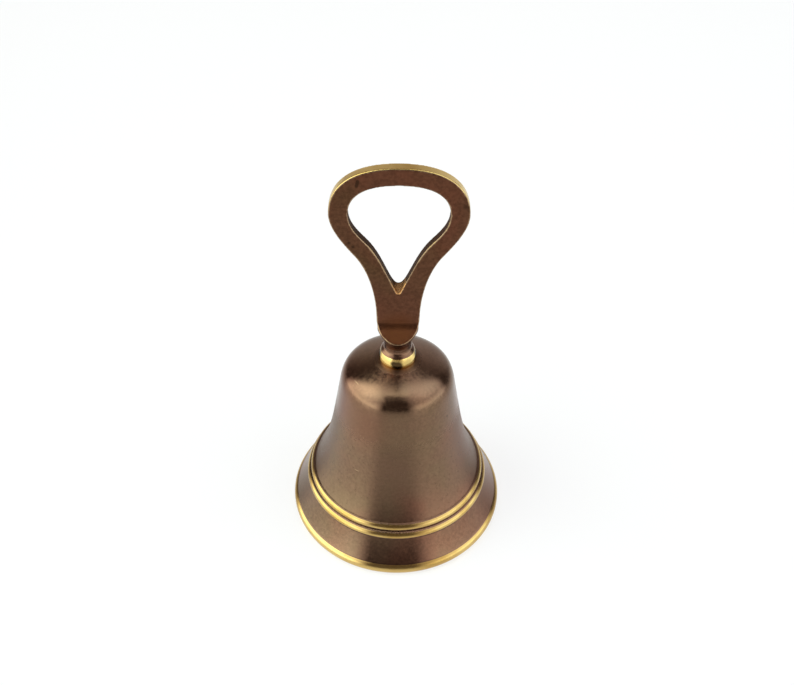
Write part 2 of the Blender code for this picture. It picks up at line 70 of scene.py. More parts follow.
Colour = tuple[float, float, float]
Place = tuple[float, float, float]
Point = tuple[float, float]
Ramp = tuple[float, ...]
Socket = bpy.types.NodeSocket
Value = Union[float, int, str, Sequence[float], Socket]


class Surface(Enum):
    """How a stretch of a turned profile is finished: polish, grime with painted shade, and inside."""

    PATINA = (0.0, 0.0, 0.0)
    POLISHED = (1.0, 0.0, 0.0)
    # rougher, and darkened as painted shade around the bead's foot on the crown
    DULL_AND_SHADED = (0.0, 0.35, 0.0)
    GROOVE = (0.0, 1.0, 0.0)
    INSIDE = (0.0, 0.3, 1.0)


class Side(Enum):
    """The two faces of the handle."""

    FRONT = -1
    BACK = 1


class MarkKind(Enum):
    """What a mark does to the surface."""

    # darkens: real pits, and painted shade and painted dark reflection on the bead
    PIT = "pit"
    SCRATCH = "scratch"
    BLUSH = "blush"


@dataclass(frozen=True)
class ProfilePoint:
    """One point of a turned profile with its finish."""

    radius: float
    height: float
    surface: Surface = Surface.PATINA


@dataclass(frozen=True)
class Mark:
    """A dark mark (a pit, and on the bead painted shade and painted dark reflection), a bright scratch or a
    redder patch on a surface, in millimetres.

    It is round, or runs in a straight line to its end if it has one, and is at its full strength
    within its core, a share of its radius.
    """

    place: Place
    radius: float
    kind: MarkKind = MarkKind.PIT
    strength: float = 1.0
    end: Place | None = None
    core: float = 0.2


def opaque(colour: Sequence[float]) -> tuple[float, ...]:
    """Return a colour with full alpha."""
    return (*colour, 1.0)


class Graph:
    """Adds nodes to a tree and links their sockets."""

    def __init__(self, tree: bpy.types.NodeTree) -> None:
        """Keep the tree that the nodes go into."""
        self.tree = tree

    def add(self, kind: str, inputs: dict[Any, Value] | None = None, **settings: Any) -> bpy.types.Node:
        """Add a node.

        Args:
            kind: Blender's type name of the node.
            inputs: Values or sockets for its inputs, by name or number.
            **settings: Properties of the node.

        Returns:
            The new node.
        """
        node = self.tree.nodes.new(kind)
        for key, value in settings.items():
            setattr(node, key, value)
        for key, value in (inputs or {}).items():
            self.feed(node.inputs[key], value)
        return node

    def feed(self, socket: Socket, value: Value) -> None:
        """Link a socket to another one, or set its value.

        Args:
            socket: Input of a node.
            value: Output of a node, or a plain value. A colour has no alpha.
        """
        if isinstance(value, bpy.types.NodeSocket):
            self.tree.links.new(value, socket)
        else:
            socket.default_value = opaque(value) if socket.type == "RGBA" else value

    def maths(self, operation: str, *values: Value, clamp: bool = False) -> Socket:
        """Add a Math node and return its result, which clamp keeps between 0 and 1."""
        inputs = dict(enumerate(values))
        return self.add("ShaderNodeMath", inputs, operation=operation, use_clamp=clamp).outputs[0]

    def chain(self, operation: str, *values: Value) -> Socket:
        """Join several values by the same operation.

        Args:
            operation: Name of the operation.
            *values: What is joined, in order.

        Returns:
            The last node's result.
        """
        result = values[0]
        for value in values[1:]:
            result = self.maths(operation, result, value)
        return result

    def vector(self, operation: str, inputs: dict[Any, Value], output: str = "Vector") -> Socket:
        """Add a Vector Math node and return one of its outputs."""
        return self.add("ShaderNodeVectorMath", inputs, operation=operation).outputs[output]

    def ramp(self, value: Value, low: float, high: float, start: float = 0.0, end: float = 1.0) -> Socket:
        """Ease smoothly from one value to another.

        Args:
            value: What is mapped.
            low: Where the change begins.
            high: Where it ends.
            start: Result at low and below.
            end: Result at high and above.

        Returns:
            The mapped value.
        """
        inputs = {"Value": value, "From Min": low, "From Max": high, "To Min": start, "To Max": end}
        node = self.add("ShaderNodeMapRange", inputs, interpolation_type="SMOOTHSTEP", clamp=True)
        return node.outputs[0]

    def mix(self, share: Value, first: Value, second: Value, blend: str = "MIX") -> Socket:
        """Mix two colours by a share of the second, laid over the first in a way of blending."""
        inputs = {0: share, 6: first, 7: second}
        return self.add("ShaderNodeMix", inputs, data_type="RGBA", blend_type=blend).outputs[2]

    def blend(self, share: Value, first: Value, second: Value) -> Socket:
        """Mix two numbers by a share of the second."""
        return self.add("ShaderNodeMix", {0: share, 2: first, 3: second}, data_type="FLOAT").outputs[0]

    def noise(self, place: Value, scale: float, detail: float = 3.0, roughness: float = 0.6) -> Socket:
        """Lay a noise pattern on coordinates, its scale in lumps per metre, about 0.5 on average."""
        inputs = {"Vector": place, "Scale": scale, "Detail": detail, "Roughness": roughness}
        return self.add("ShaderNodeTexNoise", inputs).outputs["Fac"]


def new_material(name: str, shown: Colour) -> tuple[bpy.types.Material, Graph, Any]:
    """Make a material with nodes.

    Args:
        name: Name of the material.
        shown: Its colour in a plain viewport.

    Returns:
        The material, its graph and the inputs of its shader.
    """
    made = bpy.data.materials.new(name)
    made.use_nodes = True
    made.diffuse_color = opaque(shown)
    return made, Graph(made.node_tree), made.node_tree.nodes["Principled BSDF"].inputs


@dataclass(frozen=True)
class AntiqueBrass:
    """Brass with a brown patina, rubbed bright where the zone attribute says so.

    The attribute holds polish, grime with painted shade, and inside in its three numbers. Each ramp says
    between which values of a pattern the finish changes. A turned surface has fine grooves around the Z axis,
    coarser within a band of heights in millimetres, which spread its reflections up and down.
    """

    brown: Colour = (0.173, 0.098, 0.062)
    warm: Colour = (0.190, 0.092, 0.057)
    olive: Colour = (0.164, 0.103, 0.060)
    blush: Colour = (0.206, 0.090, 0.055)
    fringe: Colour = (0.32, 0.21, 0.125)
    gold: Colour = (0.58, 0.40, 0.14)
    deep_gold: Colour = (0.44, 0.27, 0.075)
    # dark colour of grime, also laid as painted shade on the crown by the bead, on the bead and in the
    # handle's hole
    grime_and_shade: Colour = (0.035, 0.017, 0.009)
    cast: Colour = (0.30, 0.20, 0.09)
    cloud_scale: float = 70.0
    drift_scale: float = 26.0
    speck_scale: float = 1000.0
    grain_scale: float = 3600.0
    smooth_octaves: float = 0.55
    olive_ramp: Ramp = (0.42, 0.58)
    cloud_ramp: Ramp = (0.35, 0.65, 0.3, 0.9)
    cast_ramp: Ramp = (0.35, 0.65)
    gold_ramp: Ramp = (0.4, 0.7)
    worn_ramp: Ramp = (0.42, 0.66)
    fringe_ramp: Ramp = (0.22, 0.44)
    mottle_ramp: Ramp = (0.25, 0.75)
    rough_ramp: Ramp = (0.2, 0.8)
    bright_ramp: Ramp = (0.3, 0.7)
    mottle: float = 0.125
    speck_rub: float = 0.36
    cloud_rub: float = 0.3
    grime_and_shade_cover: float = 0.8
    brown_roughness: float = 0.20
    brown_spread: Ramp = (-0.05, 0.07)
    gold_roughness: float = 0.19
    gold_spread: Ramp = (-0.03, 0.04)
    cast_roughness: float = 0.5
    grime_roughness: float = 0.5
    cast_metal: float = 0.75
    grain_share: float = 0.2
    relief_strength: float = 0.03
    relief_depth: float = 0.02 * MM
    turning: float = 0.0
    turned_band: Ramp = (12.0, 18.0, 44.0, 52.0)
    turned_roughness: float = 0.14
    groove_turn: float = 0.25
    marks: tuple[Mark, ...] = ()

    def material(self, name: str) -> bpy.types.Material:
        """Make the finish as a material.

        Args:
            name: Name of the material.

        Returns:
            The new material.
        """
        made, graph, shader = new_material(name, self.brown)
        place = graph.add("ShaderNodeTexCoord").outputs["Object"]
        zone = graph.add("ShaderNodeAttribute", attribute_name=ZONE).outputs["Vector"]
        polish, grime_and_shade, inside = graph.add("ShaderNodeSeparateXYZ", {0: zone}).outputs
        cloud = graph.noise(place, self.cloud_scale, roughness=self.smooth_octaves)
        drift = graph.noise(place, self.drift_scale, detail=2.0, roughness=self.smooth_octaves)
        speck = graph.noise(place, self.speck_scale)
        grain = graph.noise(place, self.grain_scale, detail=2.0)

        brown = graph.mix(graph.ramp(drift, *self.olive_ramp), self.olive, self.warm)
        brown = graph.mix(graph.ramp(cloud, *self.cloud_ramp), self.brown, brown)
        shade = graph.ramp(speck, *self.mottle_ramp, 1 - self.mottle, 1 + self.mottle)
        grey = graph.add("ShaderNodeCombineColor", {0: shade, 1: shade, 2: shade}).outputs[0]
        brown = graph.mix(1.0, brown, grey, "MULTIPLY")
        rub, dark = polish, grime_and_shade
        for pattern, share in ((speck, self.speck_rub), (cloud, self.cloud_rub)):
            rub = graph.maths("ADD", rub, graph.maths("MULTIPLY_ADD", pattern, share, -share / 2))
        for mark in self.marks:
            near = self.nearness(graph, place, mark)
            if mark.kind is MarkKind.SCRATCH:
                rub = graph.maths("ADD", rub, near)
            elif mark.kind is MarkKind.BLUSH:
                brown = graph.mix(near, brown, self.blush)
            else:
                dark = graph.maths("ADD", dark, near, clamp=True)
        worn = graph.ramp(rub, *self.worn_ramp)
        gold = graph.mix(graph.ramp(cloud, *self.gold_ramp), self.gold, self.deep_gold)
        cast = graph.mix(graph.ramp(cloud, *self.cast_ramp), self.cast, self.brown)
        colour = graph.mix(graph.ramp(rub, *self.fringe_ramp), brown, self.fringe)
        colour = graph.mix(worn, colour, gold)
        colour = graph.mix(inside, colour, cast)
        # cover by grime and by painted shade darkens the colour
        cover = graph.maths("MULTIPLY", dark, self.grime_and_shade_cover, clamp=True)
        graph.feed(shader["Base Color"], graph.mix(cover, colour, self.grime_and_shade))

        levels = [self.brown_roughness + more for more in self.brown_spread]
        rough = graph.ramp(speck, *self.rough_ramp, *levels)
        if self.turning:
            rough = self.turned(graph, shader, place, rough)
        levels = [self.gold_roughness + more for more in self.gold_spread]
        rough = graph.blend(worn, rough, graph.ramp(cloud, *self.bright_ramp, *levels))
        rough = graph.blend(inside, rough, self.cast_roughness)
        graph.feed(shader["Roughness"], graph.maths("MULTIPLY_ADD", grime_and_shade, self.grime_roughness, rough))
        graph.feed(shader["Metallic"], graph.ramp(inside, 0.0, 1.0, 1.0, self.cast_metal))
        relief = graph.maths("ADD", graph.maths("MULTIPLY", grain, self.grain_share), speck)
        bump = graph.add("ShaderNodeBump", {
            "Height": relief, "Strength": self.relief_strength, "Distance": self.relief_depth})
        graph.feed(shader["Normal"], bump.outputs[0])
        return made

    def turned(self, graph: Graph, shader: Any, place: Socket, rough: Socket) -> Socket:
        """Give the finish its grooves around the Z axis.

        Args:
            graph: Graph of the material.
            shader: Inputs of its shader.
            place: Coordinates on the piece.
            rough: Roughness without the grooves.

        Returns:
            The roughness, greater within the coarser band.
        """
        around = graph.add("ShaderNodeTangent", direction_type="RADIAL", axis="Z").outputs[0]
        graph.feed(shader["Tangent"], around)
        shader["Anisotropic"].default_value = self.turning
        shader["Anisotropic Rotation"].default_value = self.groove_turn
        height = graph.add("ShaderNodeSeparateXYZ", {0: place}).outputs[2]
        foot, low, high, top = (level * MM for level in self.turned_band)
        start, end = graph.ramp(height, foot, low), graph.ramp(height, high, top, 1.0, 0.0)
        band = graph.maths("MULTIPLY", start, end)
        return graph.maths("MULTIPLY_ADD", band, self.turned_roughness, rough)

    @staticmethod
    def nearness(graph: Graph, place: Socket, mark: Mark) -> Socket:
        """Find how much of a mark a place gets.

        Args:
            graph: Graph of the material.
            place: Coordinates on the piece.
            mark: The mark.

        Returns:
            The mark's strength at its middle and 0 beyond its radius.
        """
        spot = Vector(mark.place) * MM
        away = graph.vector("SUBTRACT", {0: place, 1: tuple(spot)})
        if mark.end is not None:
            line = Vector(mark.end) * MM - spot
            along = graph.vector("DOT_PRODUCT", {0: away, 1: tuple(line / line.length_squared)}, "Value")
            along = graph.maths("MULTIPLY", along, 1.0, clamp=True)
            step = graph.vector("SCALE", {0: tuple(line), "Scale": along})
            away = graph.vector("SUBTRACT", {0: away, 1: step})
        gap = graph.vector("LENGTH", {0: away}, "Value")
        radius = mark.radius * MM
        return graph.ramp(gap, radius * mark.core, radius, mark.strength, 0.0)


@dataclass(frozen=True)
class BareMetal:
    """Plain turned, milled or drawn metal with tarnish and fine tool marks."""

    bright: Colour
    dull: Colour
    roughness: float
    stretch: Place = (1.0, 1.0, 1.0)
    lumps: float = 420.0
    lines: float = 2600.0
    dull_ramp: Ramp = (0.36, 0.68)
    rough_ramp: Ramp = (0.3, 0.7)
    spread: Ramp = (-0.06, 0.1)
    relief_strength: float = 0.25
    relief_depth: float = 0.02 * MM

    def material(self, name: str) -> bpy.types.Material:
        """Make the finish as a material.

        Args:
            name: Name of the material.

        Returns:
            The new material.
        """
        made, graph, shader = new_material(name, self.bright)
        place = graph.add("ShaderNodeTexCoord").outputs["Object"]
        along = graph.add("ShaderNodeMapping", {"Vector": place, "Scale": self.stretch}).outputs[0]
        tarnish = graph.noise(place, self.lumps, detail=4.0, roughness=0.55)
        lines = graph.noise(along, self.lines, detail=2.0)
        dull = graph.ramp(tarnish, *self.dull_ramp)
        graph.feed(shader["Base Color"], graph.mix(dull, self.bright, self.dull))
        shader["Metallic"].default_value = 1.0
        levels = [self.roughness + more for more in self.spread]
        graph.feed(shader["Roughness"], graph.ramp(tarnish, *self.rough_ramp, *levels))
        bump = graph.add("ShaderNodeBump", {
            "Height": lines, "Strength": self.relief_strength, "Distance": self.relief_depth})
        graph.feed(shader["Normal"], bump.outputs[0])
        return made


DULL_BRASS = BareMetal((0.52, 0.36, 0.13), (0.28, 0.19, 0.08), 0.34)
MILLED_BRASS = BareMetal((0.56, 0.40, 0.16), (0.33, 0.23, 0.10), 0.30)
TURNED_BRASS = BareMetal((0.60, 0.42, 0.16), (0.34, 0.23, 0.09), 0.28, (1.0, 1.0, 6.0))
STEEL = BareMetal((0.46, 0.45, 0.43), (0.30, 0.28, 0.26), 0.32)


def bare_object(name: str, mesh: bpy.types.Mesh) -> bpy.types.Object:
    """Put a mesh into the scene.

    Args:
        name: Name of the object.
        mesh: Its mesh.

    Returns:
        The new object.
    """
    made = bpy.data.objects.new(name, mesh)
    bpy.context.scene.collection.objects.link(made)
    return made


def worked_object(name: str, work: bmesh.types.BMesh) -> bpy.types.Object:
    """Put a mesh that was worked on into the scene.

    Args:
        name: Name of the object.
        work: The mesh, which is freed.

    Returns:
        The new object.
    """
    mesh = bpy.data.meshes.new(name)
    work.to_mesh(mesh)
    work.free()
    return bare_object(name, mesh)


def bake(piece: bpy.types.Object) -> None:
    """Replace a piece's mesh by what its modifiers make of it, and remove them.

    Args:
        piece: Object with modifiers.
    """
    bpy.context.view_layer.update()
    graph = bpy.context.evaluated_depsgraph_get()
    mesh = bpy.data.meshes.new_from_object(
        piece.evaluated_get(graph), preserve_all_data_layers=True, depsgraph=graph)
    piece.modifiers.clear()
    piece.data = mesh
    mesh.name = piece.name


def close_up(mesh: bpy.types.Mesh, sharp_angle: float) -> None:
    """Merge doubles, turn the faces outwards and shade smooth apart from sharp edges.

    Args:
        mesh: Mesh that is changed.
        sharp_angle: Angle between faces over which an edge stays sharp.
    """
    work = bmesh.new()
    work.from_mesh(mesh)
    bmesh.ops.remove_doubles(work, verts=work.verts, dist=MERGE_DISTANCE)
    bmesh.ops.recalc_face_normals(work, faces=work.faces)
    work.to_mesh(mesh)
    work.free()
    mesh.shade_smooth()
    mesh.set_sharp_from_angle(angle=sharp_angle)


class Maker:
    """A Geometry Nodes tree that makes a piece from a drawn path and dresses it."""

    def __init__(self, name: str, inputs: dict[str, str]) -> None:
        """Build the tree.

        Args:
            name: Name of the tree.
            inputs: Its inputs beside path and finish, with the type of their sockets.
        """
        self.name = name
        self.tree = bpy.data.node_groups.new(name, "GeometryNodeTree")
        faces = self.tree.interface
        sockets = {"Path": "NodeSocketGeometry", **inputs, "Finish": "NodeSocketMaterial"}
        self.keys = {label: faces.new_socket(label, in_out="INPUT", socket_type=kind).identifier
                     for label, kind in sockets.items()}
        faces.new_socket("Made", in_out="OUTPUT", socket_type="NodeSocketGeometry")
        graph = Graph(self.tree)
        given = graph.add("NodeGroupInput").outputs
        real = graph.add("GeometryNodeRealizeInstances", {0: self.shape(graph, given)}).outputs[0]
        dressed = graph.add("GeometryNodeSetMaterial", {"Geometry": real, "Material": given["Finish"]})
        graph.add("NodeGroupOutput", {"Made": dressed.outputs[0]})

    def shape(self, graph: Graph, given: Any) -> Socket:
        """Add the nodes that make the shape, which each kind of maker has of its own."""
        raise NotImplementedError

    def make(self, name: str, path: bpy.types.Mesh, settings: dict[str, Any]) -> bpy.types.Object:
        """Make a piece.

        Args:
            name: Name of the piece.
            path: What it is made from.
            settings: Values of the tree's other inputs.

        Returns:
            The piece, with its place in its mesh.
        """
        made = bare_object(name, path)
        step = made.modifiers.new(self.name, "NODES")
        step.node_group = self.tree
        for label, value in settings.items():
            step[self.keys[label]] = value
        bake(made)
        close_up(made.data, TURNED_SHARP)
        return made


class Lathe(Maker):
    """Turns a profile about the Z axis and keeps its zones."""

    def __init__(self) -> None:
        """Build the tree with an input for the number of steps."""
        super().__init__("lathe", {"Steps": "NodeSocketInt"})

    def shape(self, graph: Graph, given: Any) -> Socket:
        """Bend a grid of profiles around the axis.

        Args:
            graph: Graph of the tree.
            given: Outputs of the tree's input node.

        Returns:
            The turned mesh.
        """
        profile = given["Path"]
        size = graph.add("GeometryNodeAttributeDomainSize", {0: profile}, component="MESH")
        count = size.outputs["Point Count"]
        sheet = graph.add("GeometryNodeMeshGrid", {
            "Vertices X": graph.maths("ADD", given["Steps"], 1), "Vertices Y": count})
        index = graph.add("GeometryNodeInputIndex").outputs[0]
        row = graph.maths("FLOORED_MODULO", index, count)
        turn = graph.maths("FLOOR", graph.maths("DIVIDE", graph.maths("ADD", index, 0.5), count))
        angle = graph.maths("DIVIDE", graph.maths("MULTIPLY", turn, math.tau), given["Steps"])
        spot = self.sample(graph, profile, graph.add("GeometryNodeInputPosition").outputs[0], row)
        spot = graph.add("ShaderNodeSeparateXYZ", {0: spot}).outputs
        place = graph.add("ShaderNodeCombineXYZ", {
            0: graph.maths("MULTIPLY", spot[0], graph.maths("COSINE", angle)),
            1: graph.maths("MULTIPLY", spot[0], graph.maths("SINE", angle)), 2: spot[2]}).outputs[0]
        zone = graph.add("GeometryNodeInputNamedAttribute", {"Name": ZONE}, data_type="FLOAT_VECTOR")
        zone = self.sample(graph, profile, zone.outputs[0], row)
        kept = graph.add("GeometryNodeStoreNamedAttribute", {
            "Geometry": sheet.outputs[0], "Name": ZONE, "Value": zone},
            data_type="FLOAT_VECTOR", domain="POINT").outputs[0]
        moved = graph.add("GeometryNodeSetPosition", {"Geometry": kept, "Position": place}).outputs[0]
        whole = graph.add("GeometryNodeMergeByDistance", {"Geometry": moved, "Distance": MERGE_DISTANCE})
        return whole.outputs[0]

    @staticmethod
    def sample(graph: Graph, profile: Socket, value: Socket, row: Socket) -> Socket:
        """Read a vector of the profile by the number of its point."""
        return graph.add("GeometryNodeSampleIndex", {"Geometry": profile, "Value": value, "Index": row},
                         data_type="FLOAT_VECTOR", domain="POINT").outputs[0]

    def turn(self, name: str, profile: Sequence[ProfilePoint], steps: int, closed: bool,
             material: bpy.types.Material) -> bpy.types.Object:
        """Turn a profile into a solid piece.

        Args:
            name: Name of the piece.
            profile: Points of the half section in order.
            steps: Facets around the axis.
            closed: Whether the section closes on itself and not on the axis.
            material: Finish of the piece.

        Returns:
            The piece, with its place in its mesh.
        """
        points = list(profile)
        if closed:
            points.append(points[0])
        mesh = bpy.data.meshes.new(name)
        edges = [(i, i + 1) for i in range(len(points) - 1)]
        mesh.from_pydata([(p.radius, 0.0, p.height) for p in points], edges, [])
        zone = mesh.attributes.new(ZONE, "FLOAT_VECTOR", "POINT")
        zone.data.foreach_set("vector", [number for p in points for number in p.surface.value])
        return self.make(name, mesh, {"Steps": steps, "Finish": material})


class Wire(Maker):
    """Draws a round wire along a closed path."""

    FACETS = 32
    RING_POINTS = 72

    def __init__(self) -> None:
        """Build the tree with inputs for the wire's radius and its facets."""
        super().__init__("wire", {"Radius": "NodeSocketFloat", "Facets": "NodeSocketInt"})

    def shape(self, graph: Graph, given: Any) -> Socket:
        """Sweep a circle along the path.

        Args:
            graph: Graph of the tree.
            given: Outputs of the tree's input node.

        Returns:
            The wire's mesh.
        """
        path = graph.add("GeometryNodeMeshToCurve", {0: given["Path"]}).outputs[0]
        ring = graph.add("GeometryNodeCurvePrimitiveCircle", {
            "Resolution": given["Facets"], "Radius": given["Radius"]}, mode="RADIUS").outputs[0]
        return graph.add("GeometryNodeCurveToMesh", {"Curve": path, "Profile Curve": ring}).outputs[0]

    def draw(self, name: str, path: Sequence[Vector], radius: float,
             material: bpy.types.Material) -> bpy.types.Object:
        """Draw a closed wire.

        Args:
            name: Name of the piece.
            path: Points along its middle.
            radius: Radius of the wire.
            material: Finish of the piece.

        Returns:
            The piece, with its place in its mesh.
        """
        mesh = bpy.data.meshes.new(name)
        count = len(path)
        mesh.from_pydata([tuple(spot) for spot in path], [(i, (i + 1) % count) for i in range(count)], [])
        return self.make(name, mesh, {"Radius": radius, "Facets": self.FACETS, "Finish": material})

    def ring(self, name: str, major: float, radius: float, height: float,
             material: bpy.types.Material) -> bpy.types.Object:
        """Draw a ring that stands in the XZ plane.

        Args:
            name: Name of the piece.
            major: Radius of the ring's middle line.
            radius: Radius of the wire.
            height: Height of the ring's centre.
            material: Finish of the piece.

        Returns:
            The piece, with its place in its mesh.
        """
        turns = [math.tau * i / self.RING_POINTS for i in range(self.RING_POINTS)]
        path = [Vector((major * math.cos(turn), 0.0, height + major * math.sin(turn))) for turn in turns]
        return self.draw(name, path, radius, material)


def between(start: Point, end: Point, share: float) -> Point:
    """Return the point at a share of the way."""
    return tuple(a + (b - a) * share for a, b in zip(start, end))


def arc(start: Point, end: Point, rise: float, count: int) -> list[Point]:
    """Draw an arc that bulges to its left-hand side.

    Args:
        start: Point before the arc's first one.
        end: Last point.
        rise: Height of the arc over its chord, negative for a hollow.
        count: Number of points.

    Returns:
        The points after start, up to end.
    """
    run, fall = end[0] - start[0], end[1] - start[1]
    chord = math.hypot(run, fall)
    along = (run / chord, fall / chord)
    radius = ((chord / 2) ** 2 + rise ** 2) / (2 * rise)
    half_turn = 2 * math.atan2(rise, chord / 2)
    points = []
    for i in range(1, count + 1):
        angle = half_turn * (2 * i / count - 1)
        slide = chord / 2 + radius * math.sin(angle)
        lift = radius * math.cos(angle) - (radius - rise)
        points.append((start[0] + slide * along[0] - lift * along[1],
                       start[1] + slide * along[1] + lift * along[0]))
    return points


def profile_of(spots: Iterable[Point], surface: Surface = Surface.PATINA,
               lift: float = 0.0) -> list[ProfilePoint]:
    """Give the points of a profile one finish and lift them."""
    return [ProfilePoint(radius, lift + height, surface) for radius, height in spots]


def seat(piece: bpy.types.Object, body: str, node: str) -> None:
    """Let a piece ride on a body and stand for a node.

    Args:
        piece: The finished piece.
        body: Body that it moves with.
        node: CAD node that it replaces.
    """
    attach(piece, body)
    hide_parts(node)
    log.info("%s: %d faces, rides on %s", piece.name, len(piece.data.polygons), body)


def combine(target: bpy.types.Object, tool: bpy.types.Object, operation: str) -> None:
    """Apply an exact Boolean and remove the tool.

    Args:
        target: Object that is changed.
        tool: Object that changes it.
        operation: Name of the Boolean operation.
    """
    step = target.modifiers.new(tool.name, "BOOLEAN")
    step.solver = "EXACT"
    step.operation = operation
    step.object = tool
    bake(target)
    bpy.data.objects.remove(tool)


def coat(piece: bpy.types.Object, material: bpy.types.Material) -> None:
    """Give a piece one material all over."""
    piece.data.materials.clear()
    piece.data.materials.append(material)


def soften(piece: bpy.types.Object, voxel: float, rounds: int) -> None:
    """Give a piece one skin with slightly rounded edges, as casting and handling do.

    Args:
        piece: Piece made of joined solids.
        voxel: Grain of the new skin.
        rounds: How often the skin is smoothed.
    """
    remesh = piece.modifiers.new("skin", "REMESH")
    remesh.mode = "VOXEL"
    remesh.voxel_size = voxel
    smooth = piece.modifiers.new("soften", "SMOOTH")
    smooth.factor = SMOOTHING
    smooth.iterations = rounds
    bake(piece)


@dataclass
class BellShell:
    """The turned shell: crown, shoulder, flared flank, two beads, skirt and rolled lip."""

    mouth_radius: float = 37.5 * MM
    height: float = 68.1 * MM
    seat_radius: float = 6.2 * MM
    # within this radius the crown around the bead is rougher and takes painted shade
    dull_shade_radius: float = 7.6 * MM
    shoulder_radius: float = 19.1 * MM
    shoulder_drop: float = 10.6 * MM
    shoulder_fullness: tuple[float, float] = (0.70, 0.35)
    crown_lean: float = math.radians(17.0)
    flank_flare: float = 3.6 * MM
    flare_power: float = 4.4
    belt_top: Point = (29.1 * MM, 18.4 * MM)
    belt_foot: Point = (31.8 * MM, 12.75 * MM)
    belt_beads: int = 2
    bead_rise: float = 0.85 * MM
    bead_polish: tuple[float, float] = (0.22, 0.70)
    skirt_sag: float = 0.12 * MM
    lip_height: float = 4.3 * MM
    lip_rise: float = 1.2 * MM
    rim_flat: float = 2.3 * MM
    wall: float = 2.4 * MM
    lip_wall: float = 3.0 * MM
    crown_wall: float = 3.0 * MM
    hole_radius: float = 2.2 * MM
    steps: int = 180
    shoulder_points: int = 32
    flank_points: int = 48
    arc_points: int = 16

    @property
    def flank_taper(self) -> float:
        """How far the straight part of the flank spreads."""
        return self.belt_top[0] - self.shoulder_radius - self.flank_flare

    def shoulder(self, inset_side: float, inset_top: float) -> list[Point]:
        """Draw the shoulder from the crown's seat to the flank.

        Args:
            inset_side: How far it lies inside the outer face at the flank.
            inset_top: How far it lies under the outer face at the seat.

        Returns:
            Points from the seat outwards.
        """
        seat_edge = Vector((self.seat_radius, self.height))
        side = Vector((self.shoulder_radius, self.height - self.shoulder_drop))
        chord = (side - seat_edge).length
        over = Vector((math.cos(self.crown_lean), -math.sin(self.crown_lean)))
        rise = Vector((-self.flank_taper, side.y - self.belt_top[1])).normalized()
        curve = interpolate_bezier(seat_edge, seat_edge + over * chord * self.shoulder_fullness[0],
                                   side + rise * chord * self.shoulder_fullness[1], side,
                                   self.shoulder_points)
        points = []
        for i, spot in enumerate(curve):
            turn = math.pi / 2 * i / (self.shoulder_points - 1)
            points.append((spot.x - inset_side * math.sin(turn), spot.y - inset_top * math.cos(turn)))
        return points

    def flank(self, share: float) -> Point:
        """Find a point on the flank.

        Args:
            share: Share of the way from shoulder to belt.

        Returns:
            The point on the outer face.
        """
        top = self.height - self.shoulder_drop
        flare = self.flank_flare * share ** self.flare_power
        radius = self.shoulder_radius + self.flank_taper * share + flare
        return radius, top - (top - self.belt_top[1]) * share

    def bead_surface(self, share: float) -> Surface:
        """Return the finish of a bead by the share of the way down its arc."""
        low, high = self.bead_polish
        return Surface.POLISHED if low < share < high else Surface.PATINA

    def outside(self) -> list[ProfilePoint]:
        """Draw the outer face.

        Returns:
            Points from the crown's hole to the rim.
        """
        points = [ProfilePoint(self.hole_radius, self.height, Surface.DULL_AND_SHADED)]
        for spot in self.shoulder(0.0, 0.0):
            # the crown near the bead takes painted shade
            surface = Surface.DULL_AND_SHADED if spot[0] < self.dull_shade_radius else Surface.PATINA
            points.append(ProfilePoint(*spot, surface))
        count = self.flank_points
        points += profile_of(self.flank(i / count) for i in range(1, count + 1))
        for bead in range(self.belt_beads):
            top = between(self.belt_top, self.belt_foot, bead / self.belt_beads)
            foot = between(self.belt_top, self.belt_foot, (bead + 1) / self.belt_beads)
            for i, spot in enumerate(arc(top, foot, self.bead_rise, self.arc_points), 1):
                points.append(ProfilePoint(*spot, self.bead_surface(i / self.arc_points)))
        root = (self.mouth_radius - self.lip_rise, self.lip_height)
        points += profile_of(arc(self.belt_foot, root, -self.skirt_sag, self.arc_points))
        lip = arc(root, (root[0], 0.0), self.lip_rise, 2 * self.arc_points)
        return points + profile_of(lip, Surface.POLISHED)

    def inside(self) -> list[ProfilePoint]:
        """Draw the inner face.

        Returns:
            Points from the rim up to the crown's hole.
        """
        root = self.mouth_radius - self.lip_rise
        points = [(root - self.rim_flat, 0.0)]
        for radius, height in ((root, self.lip_height), self.belt_foot):
            share = 1 - height / self.belt_top[1]
            points.append((radius - self.wall - (self.lip_wall - self.wall) * share, height))
        count = self.flank_points // 2
        points += [(radius - self.wall, height)
                   for radius, height in (self.flank(1 - i / count) for i in range(count))]
        points += reversed(self.shoulder(self.wall, self.crown_wall))
        points.append((self.hole_radius, self.height - self.crown_wall))
        return profile_of(points, Surface.INSIDE)

    def build(self, lathe: Lathe, finish: AntiqueBrass) -> None:
        """Turn the shell and set it in the place of its CAD node.

        Args:
            lathe: The lathe.
            finish: Finish of the shell.
        """
        profile = self.outside() + self.inside()
        made = lathe.turn("shell_turned", profile, self.steps, True, finish.material("shell_patina"))
        seat(made, "bell", "bell_shell")


